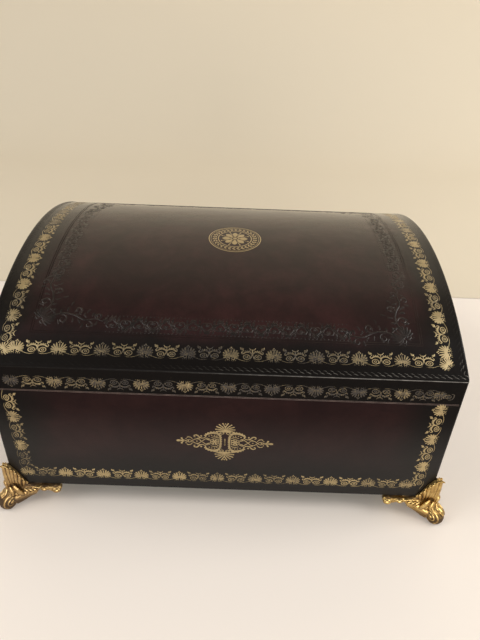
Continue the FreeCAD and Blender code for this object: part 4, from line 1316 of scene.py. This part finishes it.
@dataclass
class FootCasting:
    """A cast corner foot: a ribbed shell up the corner, two arms under the edges and a scrolled toe.

    It is drawn with the box's corner at its origin and the box towards +X and +Y, then turned
    to each corner. Heights are from the box's underside.

    Attributes:
        foot: Height of the box's underside.
        left_shade_and_age: How much darker the left feet are: painted shade for the dimmer left side, and
            age.
        toe_shade_and_dirt: Painted shade, with some dirt, on one side of the front of a toe.
        front_left_shade_and_dirt: Painted shade, with some dirt, on one side of the front of the front left
            toe.
        voxel: Grain of the casting.
        levels: Height, middle, half length and half width of each section of the toe.
        rounds: Points round a swept section.
    """

    foot: float = SIZES.foot
    left_shade_and_age: float = 0.14
    toe_shade_and_dirt: float = 0.2
    front_left_shade_and_dirt: float = 0.8
    voxel: float = 0.34
    levels: tuple[tuple[float, float, float, float], ...] = (
        (-1.0, 2.4, 2.6, 5.4), (-5.0, 3.2, 2.7, 4.9), (-7.5, 4.6, 3.7, 5.1), (-9.5, 6.3, 5.1, 5.5),
        (-12.0, 7.5, 6.2, 6.0), (-15.0, 8.1, 6.4, 6.1), (-18.0, 8.0, 6.2, 5.9), (-20.5, 7.5, 5.6, 5.1))
    rounds: int = 14

    def __post_init__(self) -> None:
        """Prepares the outward diagonal and the direction across it."""
        self.out = Vector((-1, -1, 0)).normalized()
        self.across = Vector((1, -1, 0)).normalized()
        self.mesh = bmesh.new()

    def spot(self, out: float, across: float, up: float) -> Vector:
        """A place given along the outward diagonal, across it and up from the box's underside."""
        return self.out * out + self.across * across + Vector((0, 0, up))

    def sweep(self, line: Sequence[Vector], wide: Sequence[float], thick: Sequence[float],
              side: Vector, closed: bool = False) -> None:
        """Adds a solid swept along a line, with an oval section.

        Args:
            line: The points that its middle passes.
            wide: Half its width at even steps, along the side direction.
            thick: Half its thickness at even steps.
            side: The direction of its width.
            closed: Whether the line is a ring.
        """
        points = self.smooth(line, 3, closed)
        count = len(points)
        shares = np.linspace(0, 1, count)
        widths = np.interp(shares, np.linspace(0, 1, len(wide)), wide)
        depths = np.interp(shares, np.linspace(0, 1, len(thick)), thick)
        rings = []
        for index, point in enumerate(points):
            if closed:
                ahead = points[(index + 1) % count] - points[index - 1]
            else:
                ahead = points[min(index + 1, count - 1)] - points[max(index - 1, 0)]
            ahead.normalize()
            level = (side - ahead * side.dot(ahead)).normalized()
            rise = ahead.cross(level)
            ring = []
            for step in range(self.rounds):
                turn = 2 * math.pi * step / self.rounds
                offset = level * widths[index] * math.cos(turn) + rise * depths[index] * math.sin(turn)
                ring.append(self.mesh.verts.new(point + offset))
            rings.append(ring)
        self.skin(rings, closed)

    def skin(self, rings: list[list[bmesh.types.BMVert]], closed: bool = False) -> None:
        """Joins rings of points into a solid, with a cap at both ends unless they close."""
        count = len(rings[0])
        for first, second in [*zip(rings, rings[1:]), *([(rings[-1], rings[0])] if closed else [])]:
            for step in range(count):
                after = (step + 1) % count
                self.mesh.faces.new((first[step], first[after], second[after], second[step]))
        if not closed:
            self.mesh.faces.new(rings[0][::-1])
            self.mesh.faces.new(rings[-1])

    def limb(self, line: Sequence[Colour], wide: Sequence[float], thick: Sequence[float], flip: bool,
             side: Colour = (0, 0, 1)) -> None:
        """Sweeps a solid as drawn for the front face, or mirrored to the end face."""
        self.sweep([self.flip(p, flip) for p in line], wide, thick, self.flip(side, flip))

    def ridge(self, line: Sequence[Spot], wide: Sequence[float], thick: Sequence[float]) -> None:
        """Sweeps a solid through places (out, up) in the upright plane of the diagonal."""
        self.sweep([self.spot(out, 0, up) for out, up in line], wide, thick, self.across)

    @staticmethod
    def smooth(line: Sequence[Vector], steps: int, closed: bool) -> list[Vector]:
        """A smooth line through points in space."""
        known = [Vector(p) for p in line]
        if closed:
            padded = [known[-1], *known, known[0], known[1]]
        else:
            padded = [2 * known[0] - known[1], *known, 2 * known[-1] - known[-2]]
        shares = [float(share) for share in np.linspace(0, 1, steps, endpoint=False)]
        points = [through(padded[index - 1:index + 3], share)
                  for index in range(1, len(padded) - 2) for share in shares]
        return points if closed else [*points, known[-1]]

    def bead(self, centre: Vector, radii: Colour, turn: Matrix | None = None) -> None:
        """Adds a smooth pebble with three half sizes, turned by a matrix if one is given."""
        place = Matrix.Translation(centre) @ (turn or Matrix.Identity(3)).to_4x4()
        bmesh.ops.create_icosphere(self.mesh, subdivisions=3, radius=1,
                                   matrix=place @ Matrix.Diagonal((*radii, 1)))

    def slab(self, outline: Sequence[Spot], levels: Sequence[Spot], centre: Spot,
             lay: Callable[[float, float, float], Vector]) -> None:
        """Adds a solid with a flat outline, drawn in towards its sides.

        Args:
            outline: Its outline in its own plane, anticlockwise.
            levels: Place across and share of full size of each section.
            centre: What the outline shrinks towards.
            lay: Puts a point of the outline, and its place across, in space.
        """
        rings = []
        for across, share in levels:
            ring = [(centre[0] + (u - centre[0]) * share, centre[1] + (v - centre[1]) * share)
                    for u, v in outline]
            rings.append([self.mesh.verts.new(lay(u, v, across)) for u, v in ring])
        self.skin(rings)

    def shell(self) -> None:
        """Adds the fan of broad upright ribs that wraps round the corner, with its hooked tip."""
        edge = [(-1.6, 21.9), (1.0, 20.8), (2.9, 19.0), (4.9, 15.9), (6.8, 12.5), (8.4, 8.7), (10.2, 5.0),
                (12.8, 1.2)]
        ribs = [((0.5, 2.7), (0.5, 21.2)), ((2.2, 2.2), (3.0, 18.7)), ((4.1, 1.2), (5.4, 14.9)),
                ((6.2, -0.2), (7.8, 10.0)), ((8.6, -2.0), (10.4, 5.0))]
        for flip in (False, True):
            plate = [*edge, (11.0, -3.4), (0.0, -5.0)]
            self.slab(plate, ((-0.05, 1.0), (-1.2, 0.98)), (4.0, 3.0),
                      lambda x, z, y, flip=flip: self.flip((x, self.swell(x, y), z), flip))
            for (x0, z0), (x1, z1) in ribs:
                line = []
                for share in (0, 0.35, 0.7, 1.0):
                    x, z = x0 + (x1 - x0) * share**1.4, z0 + (z1 - z0) * share
                    line.append((x, self.swell(x, -1.45) - 0.35 * share**3, z))
                self.limb(line, [0.7, 1.0, 1.2, 1.3, 0.9], [0.6, 0.95, 1.05, 1.05, 0.7], flip, (1, 0, 0.1))
        for ridge, wide, thick in (
            ([(2.9, -4), (3.5, 3), (3.8, 10), (3.9, 16), (4.0, 19.8), (4.9, 21.9)],
             [2.2, 2.7, 2.4, 2.1, 1.8, 1.1], [1.8, 2.0, 1.8, 1.5, 1.2, 0.8]),
            ([(3.8, 21.3), (5.4, 22.0), (6.9, 22.2)], [1.3, 0.9, 0.35], [0.8, 0.6, 0.3]),
            ([(4.9, 6.6), (5.7, 3.8), (5.4, 0.4), (4.6, -3.4)], [1.0, 2.1, 2.2, 1.5], [0.8, 1.3, 1.2, 1.2]),
        ):
            self.ridge(ridge, wide, thick)

    @staticmethod
    def swell(x: float, y: float) -> float:
        """How far out the shell's surface lies: it thickens towards the corner."""
        return y if y > -0.5 else y - 2.2 * max(0.0, 1 - max(x, 0) / 12.8)

    def flank(self, out: float, up: float) -> float:
        """How far across the toe's side lies, at a distance along the diagonal and a height."""
        heights, *sections = zip(*self.levels[::-1])
        middle, long, wide = (float(np.interp(up, heights, section)) for section in sections)
        share = min(1.0, abs(out - middle) / long)
        return wide * math.sqrt(1 - share**2)

    def toe(self) -> None:
        """Adds the toe, a rounded tongue that rolls over, with a ridged eye on each side."""
        sides = 2 * self.rounds
        turns = [2 * math.pi * step / sides for step in range(sides)]
        self.skin([[self.mesh.verts.new(self.spot(middle + long * math.sin(turn), wide * math.cos(turn), up))
                    for turn in turns] for up, middle, long, wide in self.levels])
        for sign in (-1, 1):
            self.eye(sign)
        self.ridge([(5.8, -3.0), (7.8, -6.7), (11.2, -8.4), (13.7, -11.0)], [0.8, 2.0, 2.1, 0.8],
                   [0.6, 1.2, 1.2, 0.6])

    def eye(self, sign: int) -> None:
        """Adds the oval eye on one side of the toe and the ridges that wind round it."""
        lean = math.radians(-35)
        centre = (6.2, -13.2)
        for long, short, tube, start, end in ((3.7, 2.7, 0.62, 0, 360), (6.4, 5.0, 0.95, -150, 160)):
            ridge = []
            for turn in np.radians(np.linspace(start, end, 17)):
                along, beside = long * math.cos(turn), short * math.sin(turn)
                out = centre[0] + along * math.cos(lean) - beside * math.sin(lean)
                up = max(-19.8, centre[1] + along * math.sin(lean) + beside * math.cos(lean))
                ridge.append(self.spot(out, sign * (self.flank(out, up) + 0.05), up))
            if end - start == 360:
                self.sweep(ridge[:-1], [tube], [tube], self.across, True)
            else:
                wide = [tube * 0.5, tube, tube, tube, tube * 0.5]
                self.sweep(ridge, wide, [tube * 0.6, *wide[1:-1], tube * 0.6], self.across)
        along = self.out * math.cos(lean) + Vector((0, 0, math.sin(lean)))
        beside = Vector((0, 0, math.cos(lean))) - self.out * math.sin(lean)
        turn = Matrix((along, beside, self.across)).transposed()
        pupil = self.spot(centre[0], sign * (self.flank(*centre) - 0.1), centre[1])
        self.bead(pupil, (2.2, 1.4, 1.4), turn)

    def haunch(self, flip: bool) -> None:
        """Adds the body that flows from an arm's root down to the toe, and the smooth leaf on it."""
        line = [(15.0, -0.9, -9.2), (11.0, -1.6, -10.6), (7.2, -3.0, -12.1), (3.6, -4.6, -13.8),
                (0.8, -6.0, -15.4)]
        self.limb(line, [3.0, 4.1, 4.7, 4.8, 4.2], [1.7, 2.1, 2.4, 2.5, 2.2], flip)
        for points, wide in (
            ([(2.2, -5.0, 1.6), (4.4, -5.6, -2.2), (6.6, -5.6, -6.0), (8.4, -4.8, -9.4)],
             [1.0, 2.3, 2.3, 0.7]),
            ([(-0.4, -5.6, 0.8), (0.6, -6.8, -3.2), (1.6, -7.4, -7.4)], [0.8, 1.8, 0.6]),
        ):
            self.limb(points, wide, [0.45 * w + 0.25 for w in wide], flip, (1, 0, 0.35))
        for x, y, z, size in ((3.2, -4.1, -7.6, 2.4), (1.6, -4.6, -4.6, 1.8), (5.4, -3.2, -9.4, 2.2)):
            self.bead(self.flip((x, y, z), flip), (size, size, size * 1.1))

    @staticmethod
    def flip(point: tuple[float, float, float], swap: bool) -> Vector:
        """A point as drawn for the front face, or mirrored to the end face."""
        return Vector((point[1], point[0], point[2])) if swap else Vector(point)

    def arm(self, flip: bool) -> None:
        """Adds one arm, with its leafy root, its waist and the bud at its end."""
        profile = [(0.0, -0.2), (0.0, -17.2), (4.6, -16.8), (8.4, -15.4), (11.6, -13.8), (14.8, -13.2),
                   (17.2, -11.6), (18.4, -8.8), (20.2, -6.6), (22.4, -5.5), (25.0, -5.7), (27.4, -6.9),
                   (30.4, -8.0), (33.6, -8.2), (36.2, -7.0), (37.9, -4.9), (38.2, -3.2), (36.8, -1.7),
                   (33.6, -1.1), (29.6, -2.2), (24.4, -2.9), (19.0, -2.3), (14.0, -0.8)]
        self.slab(profile, ((2.6, 0.97), (1.4, 1.0), (-0.9, 1.0), (-1.6, 0.96)), (19.0, -4.0),
                  lambda x, z, y: self.flip((x, y, z), flip))
        swell = [(5, -1.2, -9.2), (11, -1.1, -8.0), (16, -1.0, -6.5), (20, -0.9, -4.5), (24.4, -1.0, -3.6),
                 (28.6, -1.1, -4.2), (33.4, -1.2, -4.8), (37.4, -0.9, -4.4)]
        self.limb(swell, [6.4, 5.3, 4.1, 1.6, 2.0, 2.4, 3.2, 1.2], [2.2, 2.1, 1.9, 1.2, 1.5, 1.6, 1.9, 0.9],
                  flip)
        deep, broad = (0.8, 1.15) if flip else (1.15, 0.8)
        for x, z, size in ((24.6, -3.7, 2.5), (34.2, -4.6, 3.1)):
            self.bead(self.flip((x, -2.3, z), flip), (size * deep, size * broad, size * 0.8))
        for index in range(3):
            x, drop, middle = 10.4 + 3.1 * index, 3.7 - 0.7 * index, -7.6 + 0.95 * index
            for sign in (-1, 1):
                vein = [(x - 1.7, -2.8 + 0.12 * index, middle + sign * drop),
                        (x + 0.6, -3.4 + 0.18 * index, middle + sign * drop * 0.5),
                        (x + 2.2, -3.6 + 0.2 * index, middle)]
                self.limb(vein, [0.6, 0.95, 0.6], [0.5, 0.75, 0.45], flip)
        edge = [(14.0, -2.3, -1.8), (19.0, -2.1, -3.0), (24.4, -2.1, -3.5), (30.0, -2.2, -2.7),
                (35.4, -2.2, -2.2)]
        self.limb(edge, [0.4, 0.55, 0.6, 0.6, 0.4], [0.4, 0.6, 0.65, 0.65, 0.4], flip)
        tab = [(3, 5.4, -1.4), (20, 5.4, -1.4), (33.6, 5.4, -1.4)]
        self.limb(tab, [4.2, 4.2, 3.6], [1.2, 1.2, 1.1], flip, (0, 1, 0))

    def cast(self) -> bpy.types.Mesh:
        """Casts the foot in one piece, with its joints flowed together as in metal."""
        self.shell()
        self.toe()
        for flip in (False, True):
            self.arm(flip)
            self.haunch(flip)
        bmesh.ops.recalc_face_normals(self.mesh, faces=self.mesh.faces)
        raw = bpy.data.meshes.new("foot_pattern")
        self.mesh.to_mesh(raw)
        self.mesh.free()
        pattern = bpy.data.objects.new("foot_pattern", raw)
        bpy.context.scene.collection.objects.link(pattern)
        remesh = pattern.modifiers.new("flow", "REMESH")
        remesh.mode = "VOXEL"
        remesh.voxel_size = self.voxel
        relax = pattern.modifiers.new("relax", "SMOOTH")
        relax.factor = 0.5
        relax.iterations = 2
        evaluated = pattern.evaluated_get(bpy.context.evaluated_depsgraph_get())
        mesh = bpy.data.meshes.new_from_object(evaluated)
        bpy.data.objects.remove(pattern)
        bpy.data.meshes.remove(raw)
        return mesh

    @staticmethod
    def hollows(mesh: bpy.types.Mesh) -> np.ndarray:
        """How deep in a hollow each vertex lies, from 0 on a ridge to 1."""
        working = bmesh.new()
        working.from_mesh(mesh)
        depth = np.zeros(len(working.verts))
        for vert in working.verts:
            around = Vector()
            for edge in vert.link_edges:
                around += edge.other_vert(vert).co - vert.co
            depth[vert.index] = around.dot(vert.normal) / max(1, len(vert.link_edges))
        pairs = np.array([[edge.verts[0].index, edge.verts[1].index] for edge in working.edges])
        working.free()
        degree = np.bincount(pairs.ravel(), minlength=len(depth)) + 1
        for _ in range(3):
            total = depth.copy()
            np.add.at(total, pairs[:, 0], depth[pairs[:, 1]])
            np.add.at(total, pairs[:, 1], depth[pairs[:, 0]])
            depth = total / degree
        return np.clip(0.35 + depth * 14, 0, 1)

    @staticmethod
    def ramp(values: np.ndarray, start: float, width: float) -> np.ndarray:
        """Rises from 0 to 1 as the values pass from a start over a width."""
        return np.clip((values - start) / width, 0, 1)

    def build(self, brass: bpy.types.Material, shaded_old_brass: bpy.types.Material) -> None:
        """Casts one foot and sets it at each corner, with darker, browner feet on the left: painted shade for
        the dimmer side, and age.
        """
        mesh = self.cast()
        wear = self.hollows(mesh)
        points = np.empty(len(mesh.vertices) * 3)
        mesh.vertices.foreach_get("co", points)
        points = points.reshape(-1, 3)
        points[:, 2] = np.maximum(points[:, 2], -self.foot)
        out, low = -(points[:, 0] + points[:, 1]) / math.sqrt(2), -points[:, 2]
        across = (points[:, 0] - points[:, 1]) / math.sqrt(2)
        # darker low on the toe: painted shade near the table, with some dirt; painted shade on the tops of
        # the arms and tabs close under the box; then painted shade, with some dirt, on one side of the front
        # of the toe
        ramp = self.ramp
        wear = wear + 0.55 * ramp(low, 17.2, 2.4) + 0.4 * ramp(low, 9, 5)
        wear = wear + 0.5 * ramp(-out, 4, 3) * ramp(-low, -2.3, 0.6) * (low > 0)
        # painted shade, with some dirt, on the side of the toe's front that is turned from the light
        tip = ramp(out, 11.2, 1.4) * ramp(low, 5, 2) * ramp(-across, -5, 2)
        near = ramp(-np.abs(across), -24, 6)
        faces = [tuple(face.vertices) for face in mesh.polygons]
        for name, sx, sy, turn in (("front_left", -1, -1, 0), ("front_right", 1, -1, 90),
                                   ("back_right", 1, 1, 180), ("back_left", -1, 1, 270)):
            cos, sin = math.cos(math.radians(turn)), math.sin(math.radians(turn))
            placed = np.column_stack([cos * points[:, 0] - sin * points[:, 1] + sx * SIZES.half_width,
                                      sin * points[:, 0] + cos * points[:, 1] + sy * SIZES.half_depth,
                                      points[:, 2] + SIZES.foot])
            piece = Piece(f"foot_casting_{name}", "base")
            piece.gather(placed, faces)
            # the left feet darker: painted shade for the dimmer side, and age
            shade_and_age = self.left_shade_and_age * near if sx < 0 else 0.0
            dirt_and_shade = self.front_left_shade_and_dirt if name == "front_left" else self.toe_shade_and_dirt
            piece.wear = [np.clip(wear + shade_and_age + dirt_and_shade * tip, 0, 1)]
            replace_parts(piece.finish(shaded_old_brass if sx < 0 else brass, "gilt_brass"), f"foot_{name}")


def dress_frame(finishes: dict[str, bpy.types.Material]) -> None:
    """Gives a finish to each piece that keeps its shape from the frame.

    Args:
        finishes: A material for each kind of piece, by a word in the piece's name; the last one's
            word is empty, so it takes every piece that is left.
    """
    for name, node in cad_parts.items():
        finish = next(made for word, made in finishes.items() if word in name)
        node.data.materials.clear()
        node.data.materials.append(finish)
        LOG.info("%s: %s", name, finish.name)


@dataclass
class Studio:
    """A plain pale table, a beige sheet that sweeps up behind with painted light on it, and soft lamps on
    both sides.
    """

    table: Colour = (0.92, 0.855, 0.80)
    sheet: Colour = (0.69, 0.622, 0.505)
    sheet_front: float = 0.196
    sheet_bend: float = 0.62
    sheet_radius: float = 0.32
    sheet_lift: float = 0.0006
    reach: float = 6.0
    lit: Colour = (0.0, 0.05, 0.08)
    lamps: tuple[tuple[str, Colour, float, float, Colour], ...] = (
        ("left", (-1.35, -0.35, 1.3), 1.3, 15, (1.0, 0.97, 0.92)),
        ("right", (1.35, -0.2, 1.3), 1.3, 21, (1.0, 0.97, 0.92)),
        ("front", (0.1, -2.0, 0.33), 1.4, 35, (1.0, 0.96, 0.92)))
    room: tuple[float, ...] = (1.0, 0.95, 0.88, 1)
    room_strength: float = 0.22

    def surface(self, name: str, rows: Sequence[Sequence[Colour]], colour: Colour) -> None:
        """Makes a sheet of the stage from rows of points, painted one soft colour; the backdrop sheet also
        gets painted light, lighter towards the right and darker towards its top.
        """
        points = [point for row in rows for point in row]
        wide = len(rows[0])
        faces = [(i * wide + j, i * wide + j + 1, (i + 1) * wide + j + 1, (i + 1) * wide + j)
                 for i in range(len(rows) - 1) for j in range(wide - 1)]
        mesh = bpy.data.meshes.new(name)
        mesh.from_pydata(points, [], faces)
        mesh.shade_smooth()
        made = bpy.data.objects.new(name, mesh)
        bpy.context.scene.collection.objects.link(made)
        shader = Shader(name)
        shade = shader.mix(shader.noise(400, 2), colour, tuple(c * 0.97 for c in colour))
        x, y, _ = shader.axes()
        share = 1.0 if name == "sheet" else 0.0
        # painted light on the backdrop sheet only: lighter towards the right, on the side of the stronger
        # lamp
        lift = shader.span(x, -1.2, 1.4, 0.0, share)
        shade = shader.mix(lift, shade, tuple(min(1.0, c * 1.15) for c in colour))
        # painted shade on the backdrop sheet: darker towards its top
        shade = shader.mix(shader.span(y, 0.55, 0.95, 0.0, share), shade, (0.9, 0.9, 0.895), "MULTIPLY")
        mesh.materials.append(shader.surface_of(Base_Color=shade, Roughness=0.75, Specular_IOR_Level=0.2))

    def sweep(self) -> list[list[Colour]]:
        """Rows of points of the sheet: flat on the table, then bent up."""
        line = [(self.sheet_front, self.sheet_lift), (self.sheet_bend, self.sheet_lift)]
        for turn in np.radians(np.arange(7.5, 90.1, 7.5)):
            line.append((self.sheet_bend + self.sheet_radius * math.sin(turn),
                         self.sheet_lift + self.sheet_radius * (1 - math.cos(turn))))
        line.append((line[-1][0], self.reach))
        return [[(-self.reach, y, z), (self.reach, y, z)] for y, z in line]

    def lamp(self, name: str, place: Colour, size: float, power: float, colour: Colour) -> None:
        """Hangs a soft square lamp that faces the casket."""
        light = bpy.data.lights.new(name, "AREA")
        light.size = size
        light.energy = power
        light.color = colour
        made = bpy.data.objects.new(name, light)
        made.location = place
        made.rotation_euler = (Vector(self.lit) - Vector(place)).to_track_quat("-Z", "Y").to_euler()
        bpy.context.scene.collection.objects.link(made)

    def build(self) -> None:
        """Sets up the table, the sheet, the lamps and the even light around them."""
        r = self.reach
        self.surface("table", [[(-r, -r, 0), (r, -r, 0)], [(-r, r, 0), (r, r, 0)]], self.table)
        self.surface("sheet", self.sweep(), self.sheet)
        for lamp in self.lamps:
            self.lamp(*lamp)
        world = bpy.data.worlds.new("room")
        world.use_nodes = True
        air = world.node_tree.nodes["Background"]
        air.inputs["Color"].default_value = self.room
        air.inputs["Strength"].default_value = self.room_strength
        bpy.context.scene.world = world
        bpy.context.scene.view_settings.view_transform = "Standard"


@dataclass
class PhotoCamera:
    """The camera at the photograph's viewing angle, from a fit to the box's outlines."""

    place: tuple[float, float, float] = (6.73, -430.9, 373.2)
    yaw: float = 0.35
    pitch: float = 35.08
    roll: float = 2.29
    focal_px: float = 581.2
    frame_px: float = 640.0
    sensor: float = 36.0

    def build(self) -> None:
        """Makes the camera; its place is measured from the box's underside."""
        yaw, pitch, roll = (math.radians(a) for a in (self.yaw, self.pitch, self.roll))
        ahead = Vector((math.sin(yaw) * math.cos(pitch), math.cos(yaw) * math.cos(pitch), -math.sin(pitch)))
        level = Vector((math.cos(yaw), -math.sin(yaw), 0))
        above = level.cross(ahead)
        right = level * math.cos(roll) + above * math.sin(roll)
        up = above * math.cos(roll) - level * math.sin(roll)
        lens = bpy.data.cameras.new("photo_camera")
        lens.sensor_width = self.sensor
        lens.lens = self.focal_px / self.frame_px * self.sensor
        lens.clip_start = 0.01
        made = bpy.data.objects.new("photo_camera", lens)
        turn = Matrix((right, up, -ahead)).transposed().to_4x4()
        spot = (Vector(self.place) + Vector((0, 0, SIZES.foot))) * MM
        made.matrix_world = Matrix.Translation(spot) @ turn
        bpy.context.scene.collection.objects.link(made)
        bpy.context.scene.camera = made


def main() -> None:
    """Builds every piece of the casket's dress, in order."""
    logging.basicConfig(level=logging.INFO, format="%(message)s")
    PhotoCamera().build()
    Studio().build()
    gilt = GiltFinish().build("gold_leaf")
    waxed_gilt = GiltFinish(wax=0.8).build("waxed_gold_leaf")
    blind = BlindFinish(wax=0.85, gloss=0.1).build("blind_tooling")
    # rope roll: a pale grey painted in as sheen, brightest towards the right and the front
    rope = BlindFinish((0.008, 0.007, 0.0065), (0.24, 0.225, 0.205), 0.35, 0.2, painted_sheen_slopes=True)
    rope = rope.build("rope_painted_sheen")
    # seam beads: worn leather, with a pale brown painted in as highlight
    rim = BlindFinish((0.03, 0.018, 0.015), (0.17, 0.115, 0.095), 0.3).build("rubbed_rim_painted_highlight")
    # fillets: a pale brown painted in as sheen, brightest towards the right and the front
    fillet = BlindFinish((0.012, 0.008, 0.007), (0.24, 0.19, 0.155), 0.3, painted_sheen_slopes=True)
    fillet = fillet.build("fillet_painted_sheen")
    cast_brass = BrassFinish().build("gilt_cast_brass")
    # a darker copy of the brass for both left feet: painted shade for the dimmer left side, and age
    shaded_old_brass = BrassFinish((0.60, 0.425, 0.19), (0.36, 0.23, 0.095), (0.075, 0.043, 0.021))
    shaded_old_brass = shaded_old_brass.build("aged_and_shaded_cast_brass")
    hinge_brass = BrassFinish((0.74, 0.53, 0.22), (0.5, 0.33, 0.12), size_mm=3.0, roughness=0.35)
    hinge_brass = hinge_brass.build("hinge_brass")
    silk = SilkFinish().build("watered_silk")
    dress_frame({
        "base_leather": LeatherFinish().build("base_calf", Region.BASE),
        "lid_side_leather": LeatherFinish(gloss=0.03).build("lid_side_calf", Region.LID_SIDE),
        "lid_top_leather": LeatherFinish().build("spare_calf", Region.LID_TOP),
        "baize": BaizeFinish().build("green_baize"),
        "hinge": hinge_brass,
        "foot": cast_brass,
        "lining": silk,
        "liner": silk,
        "": PineFinish().build("pine"),
    })
    vault_calf = LeatherFinish(field_warm=(0.0275, 0.0096, 0.0100), fade_start=14, fade_end=36, gloss=0.06,
                               wax=0.95).build("vault_calf", Region.LID_TOP)
    VaultLeather().build(vault_calf)
    BorderGilding().build(gilt, waxed_gilt)
    FrontOrnament().build(gilt)
    LidMedallion().build(waxed_gilt)
    BlindTooling().build(blind, fillet)
    RopeRoll().build(rope)
    EdgeBeads().build(rope, rim)
    FootCasting().build(cast_brass, shaded_old_brass)


if __name__ == "__main__":
    main()
